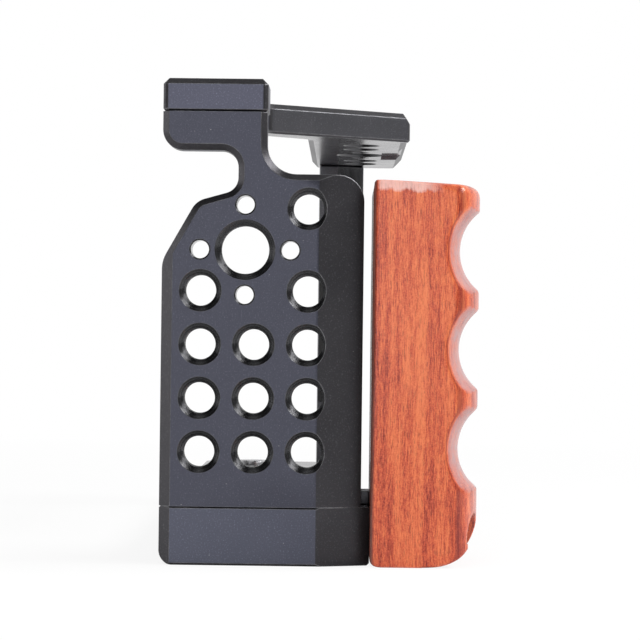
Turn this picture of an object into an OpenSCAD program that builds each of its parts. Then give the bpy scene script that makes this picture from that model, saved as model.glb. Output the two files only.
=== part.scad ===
// Camera cage: right side plate, Z-shaped top plate, left post, base and wooden grip.
// Right side faces +X, the lens side faces +Y, and the base stands on Z = 0.

/* [Whole cage] */
// Width from the left end to the right side plate's outer face
total_w = 144; // [140:0.5:150]
// Depth from the rear edge to the front of the grip
total_d = 54.1; // [53.5:0.1:56]
// Height of the top plate's upper face
total_h = 82; // [81:0.25:86]
// Clearance between a screw or pin and its hole, on the radius
fit_gap = 0.05; // [0.03:0.01:0.1]

/* [Side plate] */
// Thickness of the right side plate
plate_t = 5.2; // [4.6:0.1:6]
// Depth of the side plate from its rear edge to its front edge
plate_d = 34.1; // [33.4:0.1:35]
// Distance between neighbouring accessory holes
hole_pitch = 9.05; // [8.8:0.05:9.3]
// Radius of a quarter-inch thread's hole
quarter_r = 2.6; // [2.5:0.05:2.7]
// Radius of a quarter-inch hole's countersink
quarter_sink_r = 3.6; // [3.3:0.05:3.8]
// Radius of a three-eighths thread's hole
three_eighths_r = 4.05; // [3.95:0.05:4.15]
// Radius of a three-eighths hole's countersink
three_eighths_sink_r = 5.1; // [4.8:0.05:5.4]
// Radius of a locating pin hole
pin_hole_r = 1.525; // [1.45:0.025:1.6]
// Distance from the three-eighths hole's centre to each locating pin hole
pin_circle_r = 7.6; // [7.3:0.05:7.9]
// Width of the bevel round the outer face
plate_bevel = 1.05; // [0.6:0.05:1.3]
// Angle of the sloping front part of the outer face
facet_angle = 22; // [16:1:25]
// Depth of the sloping front part, seen from the side
facet_d = 7.6; // [6:0.2:8.4]

/* [Top plate] */
// Thickness of the top plate
top_t = 5.6; // [5:0.1:6.5]
// Bevel round its upper face
top_bevel = 1; // [0.5:0.1:1.2]
// Bevel under the front edge of the forward part
wing_bevel = 1.8; // [1.2:0.1:2.2]
// Depth of the rear bar
bar_d = 17.75; // [17.25:0.1:18.55]
// Front edge of the forward part, ahead of the middle
wing_front = 16.2; // [15.5:0.1:18]
// Rear edge of the forward part, behind the middle
wing_rear = 3.8; // [3:0.1:5]
// Distance between neighbouring holes in the forward part
wing_pitch = 10.4; // [9.8:0.1:11]
// Distance from its three-eighths hole to the nearest quarter-inch hole
wing_gap = 16.8; // [16:0.1:17.4]

/* [Base] */
// Height of the base
base_h = 9.85; // [9.4:0.05:10.5]
// Length of the battery door opening
door_w = 29; // [24:1:32]
// Depth of the battery door opening
door_d = 19; // [16:1:20]

/* [Left post] */
// Thickness of the left post
post_t = 9; // [8.6:0.2:10]
// Depth of the left post
post_d = 9.8; // [9.2:0.1:10]

/* [Grip] */
// Thickness of the wooden grip
grip_t = 25; // [24:0.5:27]
// Height of the wooden grip
grip_h = 65.3; // [64:0.1:66]
// Gap between the side plate and the grip
grip_gap = 1.5; // [1.2:0.1:1.8]
// Radius of a finger groove
groove_r = 8.5; // [7.7:0.1:8.8]
// Depth of a finger groove
groove_depth = 3.5; // [2.9:0.1:3.8]
// Rise of the grip's rounded front
crown_d = 4.2; // [3.5:0.1:5]

/* [Camera screw] */
// Radius of the camera screw's thread
screw_r = 3.15; // [3:0.05:3.2]
// How far it stands above the base
screw_rise = 4.25; // [3.5:0.25:5]
// How far it can be lifted
screw_lift = 1.5; // [1:0.1:1.6]

/* [Hidden] */
$fn = 96;
corner_steps = 12;
tiny = 0.01;
least_area = 0.0005;
over = 1;
near_x = total_w / 2;
far_x = -total_w / 2;
rear_y = -total_d / 2;
front_y = total_d / 2;
top_z = total_h - top_t;
plate_in_x = near_x - plate_t;
plate_front = rear_y + plate_d;
seam_bevel = 0.3;
light_bevel = 0.4;
rear_bevel = 1.9;
facet_y = plate_front - facet_d;
shoulder_drop = 10.4;
shoulder_z = top_z - shoulder_drop;
arm_h = 6.5;
arm_z = top_z - arm_h;
arm_back = 0.15;
arm_front = rear_y + bar_d - arm_back;
neck_w = 4.8;
neck_rear = arm_front - neck_w;
notch_drop = 2.7;
notch_z = shoulder_z - notch_drop;
shelf_d = 5.75;
shelf_y = rear_y + shelf_d;
shelf_drop = 4.7;
shelf_z = shoulder_z - shelf_drop;
slope_drop = 14.9;
shelf_round = 3.6;
slope_round = 5;
slope_z = shoulder_z - slope_drop;

// rows and columns of accessory holes in the side plate
column_in = 6.65;
column_rear = rear_y + column_in;
column_mid = column_rear + hole_pitch;
column_front = column_mid + hole_pitch;
row_rise = 9.25;
row_low = base_h + row_rise;
row_high = row_low + 3 * hole_pitch;
single_rise = 13.9;
row_single = row_high + single_rise;
big_hole_in = 14.1;
big_hole_y = rear_y + big_hole_in;
big_hole_rise = 6.9;
big_hole_z = row_high + big_hole_rise;

// flanges inside the side plate, where the screws hold it
flange_t = 4;
flange_x = plate_in_x - flange_t;
flange_low_h = 6.1;
flange_high_h = 5.4;
flange_in_rear = 1.5;
flange_rear = rear_y + flange_in_rear;
flange_in_front = 1.9;
flange_low_front = plate_front - flange_in_front;
flange_in_arm = 1.4;
flange_high_front = arm_front - flange_in_arm;
right_screw_out = 0.8;
right_screw_x = plate_in_x + right_screw_out;

// the top plate's outline
bar_front = rear_y + bar_d;
// how far from the near side the strut's four corners are: front at the bar and at the wing,
// rear at the bar and at the wing
strut_in = [46.1, 65.1, 38.3, 60.6];
strut_near_front = near_x - strut_in[0];
strut_near_wing = near_x - strut_in[1];
strut_far_rear = near_x - strut_in[2];
strut_far_wing = near_x - strut_in[3];
wing_hole_in = 41.6;
wing_hole_x = far_x + wing_hole_in;
wing_hole_y = 6.9;
bar_hole_in = 17;
bar_back = 1.3;
bar_step = 1.5;
block_w = 10;
block_in_x = near_x - block_w;
bar_low_front = bar_front - bar_back;
bar_hole_x = near_x - bar_hole_in;
bar_hole_y = bar_front - bar_d / 2;
pocket_w = 21;
pocket_d = 5;
pocket_depth = 1;
pocket_shift = 2.6;
pocket_x = wing_hole_x - pocket_w / 2 - pocket_shift;
pin_sink = 0.25;
wing_rear_bevel = 1.3;

// screws: 3 mm at the side plate, 4 mm at the left post and in the grip
m3_r = 1.5;
m3_head_r = 2.8;
m3_head_h = 1.65;
m4_r = 2;
m4_flat_r = 3.7;
m4_flat_h = 2.1;
m4_head_r = 3.4;
m4_head_h = 4;
key_share = 0.42;
key_depth = 1.1;
bolt_key_r = 1.73;
bolt_key_depth = 2;
end_room = 0.3;
sink_extra = 0.15;
right_screw_in = 5;
right_screw_rear = rear_y + right_screw_in;
right_top_in = 3.4;
right_top_front = arm_front - right_top_in;
right_base_in = 3.3;
right_base_front = facet_y - right_base_in;
top_screw_deep = 4.2;
top_screw_l = top_t + top_screw_deep;
base_screw_deep = 5;
base_screw_l = base_h + base_screw_deep;

// left post
post_in = 9.1;
post_rear = plate_front - post_in;
post_front = post_rear + post_d;
post_in_x = far_x + post_t;
post_flat = 4.1;
post_slope = 3.3;
post_screw_in = [4.8, 4.4];
post_screw = [far_x + post_screw_in[0], post_rear + post_screw_in[1]];
post_thread_depth = 6.5;
post_row_rise = 15;
post_row_pitch = 18;
post_rows = [for (k = [0 : 2]) base_h + post_row_rise + k * post_row_pitch];
left_screw_deep = 9;
left_screw_end = 0.5;
dowel_r = 1;
dowel_h = 3;
dowel_end = 0.2;
dowel_y = (right_screw_rear + right_base_front) / 2;
post_dowel_in = 1.9;
post_dowel = [far_x + post_dowel_in, post_front - post_dowel_in];

// base
lug_front = plate_front + grip_gap;
lug_w = grip_t;
lug_x = near_x - lug_w;
base_back = 0.1;
base_front = plate_front - base_back;
base_round = 2.4;
foot_out = 2;
foot_x = post_in_x + foot_out;
door_in = 39;
door_x = near_x - door_in;
door_rise = 16.65;
door_y = rear_y + door_rise;
door_r = 3;
tripod_in_x = 42;
tripod_x = far_x + tripod_in_x;
tripod_in_y = 17.05;
tripod_y = rear_y + tripod_in_y;
tripod_gap = 14.5;
pad_t = 1.1;
pad_sunk = 0.6;
pad_gap = 0.1;
pad_w = 6;
pad_l = 50;
pad_in_x = 14.5;
pad_x = far_x + pad_in_x;
pad_in_rear = 2.4;
pad_rear_y = rear_y + pad_in_rear;
pad_in_front = 8.4;
pad_front_y = plate_front - pad_in_front;
side_pad_in = 21.5;
side_pad_x = near_x - side_pad_in;
side_pad_w = 8;
side_pad_l = 26;

// camera screw, its washer and its folding ring
cam_x = 2;
cam_in = 13.15;
cam_y = rear_y + cam_in;
recess_r = 8.5;
neck_r = 2.35;
neck_room = 0.25;
neck_hole_r = neck_r + neck_room;
thread_gap = 0.3;
head_r = 5.2;
head_low = 1.2;
head_high = 4.6;
ring_axis_z = 2.9;
ring_r = 6.5;
wire_r = 0.8;
ring_pin_r = 0.7;
ring_pin_in = 3.8;
ring_pin_end = 0.2;
knuckle_r = 1.05;
washer_t = 0.8;
washer_r = 4.5;
washer_gap = 0.05;
washer_room = 0.1;
lift_room = 0.15;
recess_h = head_high + washer_gap + washer_t + screw_lift + lift_room;
thread_low = base_h + thread_gap;
thread_high = base_h + screw_rise;
tip_bevel = 0.6;
slot_w = 1.2;
slot_h = 0.8;

// stop block on the front of the base
stop_in = 17;
stop_x = near_x - stop_in;
stop_w = 7;
stop_d = 4.5;
stop_h = 2.3;
stop_pad_gap = 0.7;
side_pad_y = lug_front - stop_d - stop_pad_gap - side_pad_l;
m2_r = 1;
m2_head_r = 1.9;
m2_head_h = 1.1;
stop_thread = 4;
stop_screw_end = 0.5;

// grip
grip_rear = lug_front;
grip_x = near_x - grip_t;
grip_mid_x = near_x - grip_t / 2;
crown_y = front_y - crown_d;
crown_steps = 28;
grip_edge = 0.9;
grip_slope = 2.4;
grip_foot_r = 8.5;
groove_rows = [53.5, 36.7, 19.9];
groove_y = front_y + groove_r - groove_depth;
groove_flare = 2.5;
groove_flat = 0.3;
groove_steps = 10;
groove_over = 0.6;
bolt_z = 5.1;
bolt_side = 6.5;
bolt_x = [grip_mid_x - bolt_side, grip_mid_x + bolt_side];
bolt_bore_r = 3.7;
bolt_floor = 9;
bolt_floor_y = grip_rear + bolt_floor;
bolt_deep = 9.5;
bolt_room = 0.2;
washer4_t = 0.8;
washer4_r = 3.5;

// pads under the top plate and on the post
roof_pad_in = 29;
roof_pad_x = near_x - roof_pad_in;
roof_pad_w = 15;
roof_pad_d = 9;
post_pad_h = 34;
post_pad_rise = 14;
post_pad_z = base_h + post_pad_rise;
post_pad_w = 3;
post_pad_t = 1;
post_pad_back = 0.4;
post_pad_y = post_rear + post_pad_back;
roof_pad_back = 4;
roof_pad_y = bar_front - roof_pad_d - roof_pad_back;

aluminium = [0.27, 0.28, 0.33];
steel = [0.62, 0.62, 0.64];
black_steel = [0.16, 0.16, 0.17];
wood = [0.74, 0.35, 0.2];
rubber = [0.09, 0.09, 0.09];

// ---- outlines with rounded corners ----

function unit(v) = v / norm(v);
function left_of(d) = [-d[1], d[0]];
function turned(v, a) = [v[0] * cos(a) - v[1] * sin(a), v[0] * sin(a) + v[1] * cos(a)];

// points of one corner of an outline, moved inwards by inset; a corner is [x, y, radius]
function corner_points(c, i, inset) =
    let (
        n = len(c),
        p = [c[i][0], c[i][1]],
        a = [c[(i + n - 1) % n][0], c[(i + n - 1) % n][1]],
        b = [c[(i + 1) % n][0], c[(i + 1) % n][1]],
        d1 = unit(p - a),
        d2 = unit(b - p),
        n1 = left_of(d1),
        n2 = left_of(d2),
        turn = atan2(cross(d1, d2), d1 * d2),
        s = sign(turn),
        q = p + inset * (n1 + n2) / (1 + n1 * n2),
        r = max(c[i][2] - s * inset, tiny * 5),
        start = q - d1 * r * tan(abs(turn) / 2),
        centre = start + n1 * r * s,
        steps = c[i][2] < 0.7 ? 2 : corner_steps
    )
    [for (k = [0 : steps]) centre - s * r * turned(n1, turn * k / steps)];

function outline(c, inset) = [for (i = [0 : len(c) - 1]) each corner_points(c, i, inset)];

function level(c, inset, z) = [for (p = outline(c, inset)) [p[0], p[1], z]];

// twice the area of a triangle, positive when its corners run anticlockwise
function doubled_area(a, b, c) = cross(b - a, c - a);

function in_triangle(p, a, b, c) =
    doubled_area(a, b, p) > -tiny && doubled_area(b, c, p) > -tiny && doubled_area(c, a, p) > -tiny;

// whether corner k of the remaining outline can be cut off as a triangle
function is_ear(pts, left, k) =
    let (
        n = len(left),
        i = left[(k + n - 1) % n],
        j = left[k],
        l = left[(k + 1) % n]
    )
    doubled_area(pts[i], pts[j], pts[l]) > least_area &&
    len([
        for (m = left)
            if (m != i && m != j && m != l && in_triangle(pts[m], pts[i], pts[j], pts[l])) m
    ]) == 0;

function first_ear(pts, left, k) =
    k >= len(left) ? 0 : is_ear(pts, left, k) ? k : first_ear(pts, left, k + 1);

// triangles that fill an outline, found by cutting off one corner after another
function filled(pts, left, found) =
    len(left) == 3 ? concat(found, [left]) :
    let (
        n = len(left),
        k = first_ear(pts, left, 0)
    )
    filled(pts, [for (m = [0 : n - 1]) if (m != k) left[m]],
        concat(found, [[left[(k + n - 1) % n], left[k], left[(k + 1) % n]]]));

// a flat plate of the given outline, with bevels round its lower and upper faces
module plate(c, h, low, high) {
    rings = [level(c, low, 0), level(c, 0, low), level(c, 0, h - high), level(c, high, h)];
    n = len(rings[0]);
    all = [for (k = [0 : n - 1]) k];
    polyhedron(
        points = [for (ring = rings) each ring],
        faces = concat(
            filled(outline(c, low), all, []),
            [for (t = filled(outline(c, high), all, [])) [3 * n + t[2], 3 * n + t[1], 3 * n + t[0]]],
            [for (j = [0 : 2], k = [0 : n - 1])
                [j * n + k, (j + 1) * n + k, (j + 1) * n + (k + 1) % n, j * n + (k + 1) % n]]
        )
    );
}

// ---- holes and screws ----

// an upright hole from z = 0 to h with a countersink at each end
module sunk_hole(h, r, sink_r) {
    sink_h = sink_r - r;
    translate([0, 0, -over]) cylinder(h = h + 2 * over, r = r);
    translate([0, 0, -tiny]) cylinder(h = sink_h, r1 = sink_r, r2 = r);
    translate([0, 0, h - sink_h + tiny]) cylinder(h = sink_h, r1 = r, r2 = sink_r);
}

// the same hole through the side plate, at a depth and a height
module side_hole(y, z, r, sink_r) {
    translate([plate_in_x, y, z]) rotate([0, 90, 0]) sunk_hole(plate_t, r, sink_r);
}

// a countersunk screw pointing down from z = 0
module flat_screw(r, head_r, head_h, l) {
    difference() {
        union() {
            translate([0, 0, -l]) cylinder(h = l, r = r);
            translate([0, 0, -head_h]) cylinder(h = head_h, r1 = r, r2 = head_r);
        }
        translate([0, 0, -key_depth]) cylinder(h = key_depth + over, r = head_r * key_share, $fn = 6);
    }
}

// the hole for it
module flat_screw_hole(r, head_r, head_h, l) {
    translate([0, 0, -l]) cylinder(h = l + over, r = r + fit_gap);
    translate([0, 0, -head_h - sink_extra])
        cylinder(h = head_h, r1 = r + fit_gap, r2 = head_r + fit_gap);
    translate([0, 0, -sink_extra - tiny]) cylinder(h = sink_extra + over, r = head_r + fit_gap);
}

// places its children at each screw between the top plate and the side plate
module at_top_right() {
    for (y = [right_screw_rear, right_top_front])
        translate([right_screw_x, y, total_h - sink_extra]) children();
}

module at_top_left() {
    translate([post_screw[0], post_screw[1], total_h - sink_extra]) children();
}

module at_base_right() {
    for (y = [right_screw_rear, right_base_front])
        translate([right_screw_x, y, sink_extra]) mirror([0, 0, 1]) children();
}

module at_base_left() {
    translate([post_screw[0], post_screw[1], sink_extra]) mirror([0, 0, 1]) children();
}

module at_bolts() {
    for (x = bolt_x)
        translate([x, bolt_floor_y, bolt_z]) rotate([-90, 0, 0]) children();
}

// cuts away what is ahead of the sloping front part of the right side
module facet_cut() {
    translate([near_x, facet_y, -over]) rotate([0, 0, facet_angle])
        cube([plate_t * 3, plate_d, total_h + 2 * over]);
}

// cuts the upright bevel at the rear of the right side, up to a height
module rear_cut(low, high) {
    translate([near_x, rear_y + rear_bevel, low]) rotate([0, 0, -45])
        translate([0, -plate_d / 2, 0]) cube([plate_t, plate_d, high - low]);
}

// ---- the metal frame ----

module side_plate() {
    shape = [
        [rear_y, base_h - 2 * over, 0.4], [plate_front, base_h - 2 * over, 0.4],
        [plate_front, shoulder_z, 4.4], [arm_front, shoulder_z, 5],
        [arm_front, top_z + 2 * over, 0.4], [rear_y, top_z + 2 * over, 0.4],
        [rear_y, arm_z, 3.4], [neck_rear, arm_z, 2.9],
        [neck_rear, notch_z, 2.7], [shelf_y, shelf_z, shelf_round],
        [rear_y, slope_z, slope_round]
    ];
    color(aluminium)
    difference() {
        union() {
            difference() {
                translate([plate_in_x, 0, 0]) rotate([90, 0, 90])
                    plate(shape, plate_t, light_bevel, plate_bevel);
                facet_cut();
                rear_cut(-over, shelf_z);
            }
            translate([flange_x, flange_rear, base_h])
                cube([flange_t + light_bevel + over, flange_low_front - flange_rear, flange_low_h]);
            translate([flange_x, flange_rear, top_z - flange_high_h])
                cube([flange_t + light_bevel + over, flange_high_front - flange_rear, flange_high_h]);
        }
        translate([flange_x - over, rear_y - over, 0]) cube([plate_t * 3, total_d, base_h]);
        translate([flange_x - over, rear_y - over, top_z]) cube([plate_t * 3, total_d, top_t]);
        for (z = [row_low : hole_pitch : row_high + tiny]) {
            side_hole(column_rear, z, quarter_r, quarter_sink_r);
            side_hole(column_front, z, quarter_r, quarter_sink_r);
        }
        for (z = [row_low : hole_pitch : row_high - hole_pitch + tiny])
            side_hole(column_mid, z, quarter_r, quarter_sink_r);
        side_hole(column_front, row_single, quarter_r, quarter_sink_r);
        side_hole(big_hole_y, big_hole_z, three_eighths_r, three_eighths_sink_r);
        for (a = [0 : 90 : 270])
            translate([0, big_hole_y + pin_circle_r * cos(a), big_hole_z + pin_circle_r * sin(a)])
                side_hole(0, 0, pin_hole_r, pin_hole_r + pin_sink);
        at_top_right() flat_screw_hole(m3_r, m3_head_r, m3_head_h, top_screw_l + end_room);
        at_base_right() flat_screw_hole(m3_r, m3_head_r, m3_head_h, base_screw_l + end_room);
        at_side_dowel(dowel_r + fit_gap, dowel_h + dowel_end);
    }
}

// an upright pin or hole across the seam between the base and the side plate
module at_side_dowel(r, h) {
    translate([right_screw_x, dowel_y, base_h - h]) cylinder(h = 2 * h, r = r);
}

module top_plate() {
    shape = [
        [far_x, -wing_rear, 1.6], [strut_far_wing, -wing_rear, 2],
        [strut_far_rear, rear_y, 2], [near_x, rear_y, 1],
        [near_x, bar_front, 1], [block_in_x, bar_front, 0.8],
        [block_in_x - bar_step, bar_low_front, 0.8], [strut_near_front, bar_low_front, 3],
        [strut_near_wing, wing_front, 2], [far_x, wing_front, 3.4]
    ];
    color(aluminium)
    difference() {
        translate([0, 0, top_z]) plate(shape, top_t, light_bevel, top_bevel);
        translate([far_x - over, wing_front - wing_bevel, top_z]) rotate([45, 0, 0])
            translate([0, -over, -plate_t]) cube([strut_near_wing - far_x, plate_d, plate_t]);
        translate([far_x - over, -wing_rear + wing_rear_bevel, top_z]) rotate([-45, 0, 0])
            translate([0, over - plate_d, -plate_t])
                cube([strut_far_wing - far_x - 1, plate_d, plate_t]);
        translate([pocket_x, wing_front - pocket_d, top_z - over])
            cube([pocket_w, pocket_d + over, pocket_depth + over]);
        translate([wing_hole_x, wing_hole_y, top_z])
            sunk_hole(top_t, three_eighths_r, three_eighths_sink_r);
        for (side = [-1, 1]) {
            translate([wing_hole_x + side * pin_circle_r, wing_hole_y, top_z])
                sunk_hole(top_t, pin_hole_r, pin_hole_r + pin_sink);
            for (k = [0, 1])
                translate([wing_hole_x + side * (wing_gap + k * wing_pitch), wing_hole_y, top_z])
                    sunk_hole(top_t, quarter_r, quarter_sink_r);
            translate([bar_hole_x + side * wing_pitch / 2 - wing_pitch / 2, bar_hole_y, top_z])
                sunk_hole(top_t, quarter_r, quarter_sink_r);
        }
        at_top_right() flat_screw_hole(m3_r, m3_head_r, m3_head_h, top_screw_l);
        at_top_left() flat_screw_hole(m4_r, m4_flat_r, m4_flat_h, top_screw_l);
        at_post_dowel(top_z, dowel_r + fit_gap, dowel_h + dowel_end);
    }
}

module at_post_dowel(z, r, h) {
    translate([post_dowel[0], post_dowel[1], z - h]) cylinder(h = 2 * h, r = r);
}

module left_post() {
    shape = [
        [far_x, post_rear, 0.8], [post_in_x, post_rear, 0.6],
        [post_in_x, post_rear + post_flat, 0.3],
        [post_in_x - post_slope, post_front, 0.6], [far_x, post_front, 1.4]
    ];
    color(aluminium)
    difference() {
        translate([0, 0, base_h]) plate(shape, top_z - base_h, seam_bevel, seam_bevel);
        for (z = post_rows)
            translate([far_x, post_rear + post_d / 2, z]) rotate([0, 90, 0]) {
                translate([0, 0, -over]) cylinder(h = post_thread_depth + over, r = quarter_r);
                translate([0, 0, -tiny])
                    cylinder(h = quarter_sink_r - quarter_r, r1 = quarter_sink_r, r2 = quarter_r);
            }
        at_top_left() flat_screw_hole(m4_r, m4_flat_r, m4_flat_h, top_t + left_screw_deep);
        at_base_left() flat_screw_hole(m4_r, m4_flat_r, m4_flat_h, base_h + left_screw_deep);
        at_post_dowel(top_z, dowel_r + fit_gap, dowel_h + dowel_end);
        at_post_dowel(base_h, dowel_r + fit_gap, dowel_h + dowel_end);
        translate([post_in_x - pad_sunk, post_pad_y - pad_gap, post_pad_z - pad_gap])
            cube([post_pad_t + over, post_pad_w + 2 * pad_gap, post_pad_h + 2 * pad_gap]);
    }
}

// a rounded rectangle, from its centre
module round_rect(w, d, r) {
    square([w - 2 * r, d], center = true);
    square([w, d - 2 * r], center = true);
    for (x = [-1, 1], y = [-1, 1])
        translate([x * (w / 2 - r), y * (d / 2 - r)]) circle(r = r);
}

// places a flat pad's box at each of the three pads on the base
module base_pad_boxes(gap, low, h) {
    for (y = [pad_rear_y, pad_front_y])
        translate([pad_x - gap, y - gap, low]) cube([pad_l + 2 * gap, pad_w + 2 * gap, h]);
    translate([side_pad_x - gap, side_pad_y - gap, low])
        cube([side_pad_w + 2 * gap, side_pad_l + 2 * gap, h]);
}

module base_plate() {
    shape = [
        [far_x, rear_y, 2], [near_x, rear_y, 0.4], [near_x, lug_front, 0.6],
        [lug_x, lug_front, 0.6], [lug_x, base_front, 0.4], [foot_x, base_front, 0.3],
        [foot_x, post_front, 0.3], [far_x, post_front, 2]
    ];
    color(aluminium)
    difference() {
        plate(shape, base_h, light_bevel, seam_bevel);
        facet_cut();
        rear_cut(-over, base_h + over);
        translate([far_x - over, rear_y, 0]) rotate([90, 0, 90])
            linear_extrude(total_w + 2 * over) difference() {
                translate([-over, -over]) square([base_round + over, base_round + over]);
                translate([base_round, base_round]) circle(r = base_round);
            }
        translate([door_x, door_y, -over])
            linear_extrude(base_h + 2 * over) round_rect(door_w, door_d, door_r);
        translate([tripod_x, tripod_y, 0])
            sunk_hole(base_h, three_eighths_r, three_eighths_sink_r);
        for (side = [-1, 1]) {
            translate([tripod_x + side * pin_circle_r, tripod_y, 0])
                sunk_hole(base_h, pin_hole_r, pin_hole_r + pin_sink);
            translate([tripod_x + side * tripod_gap, tripod_y, 0])
                sunk_hole(base_h, quarter_r, quarter_sink_r);
        }
        translate([cam_x, cam_y, -over]) cylinder(h = recess_h + over, r = recess_r);
        translate([cam_x, cam_y, 0]) cylinder(h = base_h + over, r = neck_hole_r);
        base_pad_boxes(pad_gap, base_h - pad_sunk, pad_t);
        at_base_right() flat_screw_hole(m3_r, m3_head_r, m3_head_h, base_screw_l);
        at_base_left() flat_screw_hole(m4_r, m4_flat_r, m4_flat_h, base_screw_l);
        at_side_dowel(dowel_r + fit_gap, dowel_h + dowel_end);
        at_post_dowel(base_h, dowel_r + fit_gap, dowel_h + dowel_end);
        for (x = bolt_x)
            translate([x, lug_front + over, bolt_z]) rotate([90, 0, 0])
                cylinder(h = bolt_deep + over + end_room, r = m4_r + fit_gap);
        translate([stop_x + stop_w / 2, lug_front - stop_d / 2, base_h - stop_thread])
            cylinder(h = stop_thread + over, r = m2_r + fit_gap);
    }
}

// ---- the wooden grip ----

// half of the rounded front, as points of an outline seen from above
function crown_points() = [
    for (k = [0 : crown_steps])
        [grip_mid_x + grip_t / 2 * cos(180 * k / crown_steps),
            crown_y + crown_d * sin(180 * k / crown_steps)]
];

// radius of a finger groove at a distance from the grip's middle, as a fraction of its half width
function groove_at(t) = groove_r +
    (t > groove_flat ? groove_flare * pow((t - groove_flat) / (1 - groove_flat), 2) : 0);

module groove_cutter() {
    half_w = grip_t / 2 + groove_over;
    profile = [
        for (k = [-groove_steps : groove_steps])
            [groove_at(abs(k) / groove_steps), k / groove_steps * half_w]
    ];
    rotate([0, 90, 0]) rotate_extrude() polygon(concat([[0, -half_w]], profile, [[0, half_w]]));
}

module grip_body() {
    linear_extrude(grip_h)
        polygon(concat([[grip_x, grip_rear], [near_x, grip_rear]], crown_points()));
}

module wood_grip() {
    color(wood)
    difference() {
        grip_body();
        // slightly falling top
        translate([grip_x - over, grip_rear, grip_h]) rotate([-grip_slope, 0, 0])
            translate([0, -over, 0]) cube([grip_t + 2 * over, total_d, over * 3]);
        // round foot at the front
        translate([grip_x - over, front_y, 0]) rotate([90, 0, 90])
            linear_extrude(grip_t + 2 * over) difference() {
                translate([-grip_foot_r, -over]) square([grip_foot_r + over, grip_foot_r + over]);
                translate([-grip_foot_r, grip_foot_r]) circle(r = grip_foot_r);
            }
        // bevels along both sides of the top, the foot and the rear
        for (x = [grip_x, near_x], z = [0, grip_h])
            translate([x, grip_rear - over, z]) rotate([0, 45, 0])
                translate([-grip_edge / 2, 0, -grip_edge / 2])
                    cube([grip_edge, total_d, grip_edge]);
        for (x = [grip_x, near_x])
            translate([x, grip_rear, -over]) rotate([0, 0, 45])
                translate([-grip_edge / 2, -grip_edge / 2, 0])
                    cube([grip_edge, grip_edge, grip_h + 2 * over]);
        for (z = groove_rows)
            translate([grip_mid_x, groove_y, z]) groove_cutter();
        for (x = bolt_x) {
            translate([x, bolt_floor_y, bolt_z]) rotate([-90, 0, 0])
                cylinder(h = total_d, r = bolt_bore_r);
            translate([x, grip_rear - over, bolt_z]) rotate([-90, 0, 0])
                cylinder(h = total_d, r = m4_r + bolt_room);
        }
    }
}

module grip_bolts() {
    color(black_steel)
    at_bolts() difference() {
        union() {
            translate([0, 0, washer4_t + fit_gap]) cylinder(h = m4_head_h, r = m4_head_r);
            translate([0, 0, -(bolt_floor_y - lug_front) - bolt_deep])
                cylinder(h = bolt_floor_y - lug_front + bolt_deep + over, r = m4_r);
        }
        translate([0, 0, washer4_t + m4_head_h - bolt_key_depth])
            cylinder(h = bolt_key_depth + over, r = bolt_key_r, $fn = 6);
    }
}

module grip_washers() {
    color(steel)
    at_bolts() difference() {
        cylinder(h = washer4_t, r = washer4_r);
        translate([0, 0, -over]) cylinder(h = washer4_t + 2 * over, r = m4_r + bolt_room - fit_gap);
    }
}

// ---- screws and pins ----

module top_screws_right() {
    color(black_steel) at_top_right() flat_screw(m3_r, m3_head_r, m3_head_h, top_screw_l);
}

module top_screw_left() {
    color(black_steel)
    at_top_left() flat_screw(m4_r, m4_flat_r, m4_flat_h, top_t + left_screw_deep - left_screw_end);
}

module base_screws_right() {
    color(black_steel) at_base_right() flat_screw(m3_r, m3_head_r, m3_head_h, base_screw_l);
}

module base_screw_left() {
    color(black_steel)
    at_base_left() flat_screw(m4_r, m4_flat_r, m4_flat_h, base_h + left_screw_deep - left_screw_end);
}

module side_dowel() {
    color(steel) at_side_dowel(dowel_r, dowel_h);
}

module post_dowels() {
    color(steel) {
        at_post_dowel(top_z, dowel_r, dowel_h);
        at_post_dowel(base_h, dowel_r, dowel_h);
    }
}

// ---- camera screw ----

module camera_screw() {
    color(steel)
    translate([cam_x, cam_y, 0]) difference() {
        union() {
            translate([0, 0, head_low]) cylinder(h = head_high - head_low, r = head_r);
            translate([0, 0, head_high - tiny])
                cylinder(h = thread_low - head_high + 2 * tiny, r = neck_r);
            translate([0, 0, thread_low])
                cylinder(h = thread_high - thread_low - tip_bevel, r = screw_r);
            translate([0, 0, thread_high - tip_bevel - tiny])
                cylinder(h = tip_bevel, r1 = screw_r, r2 = screw_r - tip_bevel);
        }
        for (a = [0, 180])
            rotate([0, 0, a]) translate([ring_pin_in - ring_pin_end, 0, ring_axis_z]) rotate([0, 90, 0])
                cylinder(h = head_r, r = ring_pin_r + fit_gap);
        translate([-head_r - over, -slot_w / 2, head_low - over])
            cube([2 * head_r + 2 * over, slot_w, slot_h + over]);
    }
}

module screw_washer() {
    color(rubber)
    translate([cam_x, cam_y, head_high + washer_gap]) difference() {
        cylinder(h = washer_t, r = washer_r);
        translate([0, 0, -over]) cylinder(h = washer_t + 2 * over, r = neck_r + washer_room);
    }
}

module d_ring() {
    color(steel)
    translate([cam_x, cam_y, ring_axis_z]) {
        rotate_extrude(angle = 180) translate([ring_r, 0]) circle(r = wire_r, $fn = 32);
        for (a = [0, 180])
            rotate([0, 0, a]) {
                translate([ring_r, 0, 0]) sphere(r = knuckle_r, $fn = 32);
                translate([ring_pin_in, 0, 0]) rotate([0, 90, 0])
                    cylinder(h = ring_r - ring_pin_in, r = ring_pin_r);
            }
    }
}

// ---- stop block and pads ----

module stop_block() {
    color(aluminium)
    difference() {
        translate([stop_x, lug_front - stop_d, base_h]) cube([stop_w, stop_d, stop_h]);
        translate([stop_x + stop_w / 2, lug_front - stop_d / 2, base_h + stop_h - sink_extra])
            flat_screw_hole(m2_r, m2_head_r, m2_head_h, stop_h + over);
    }
}

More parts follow.
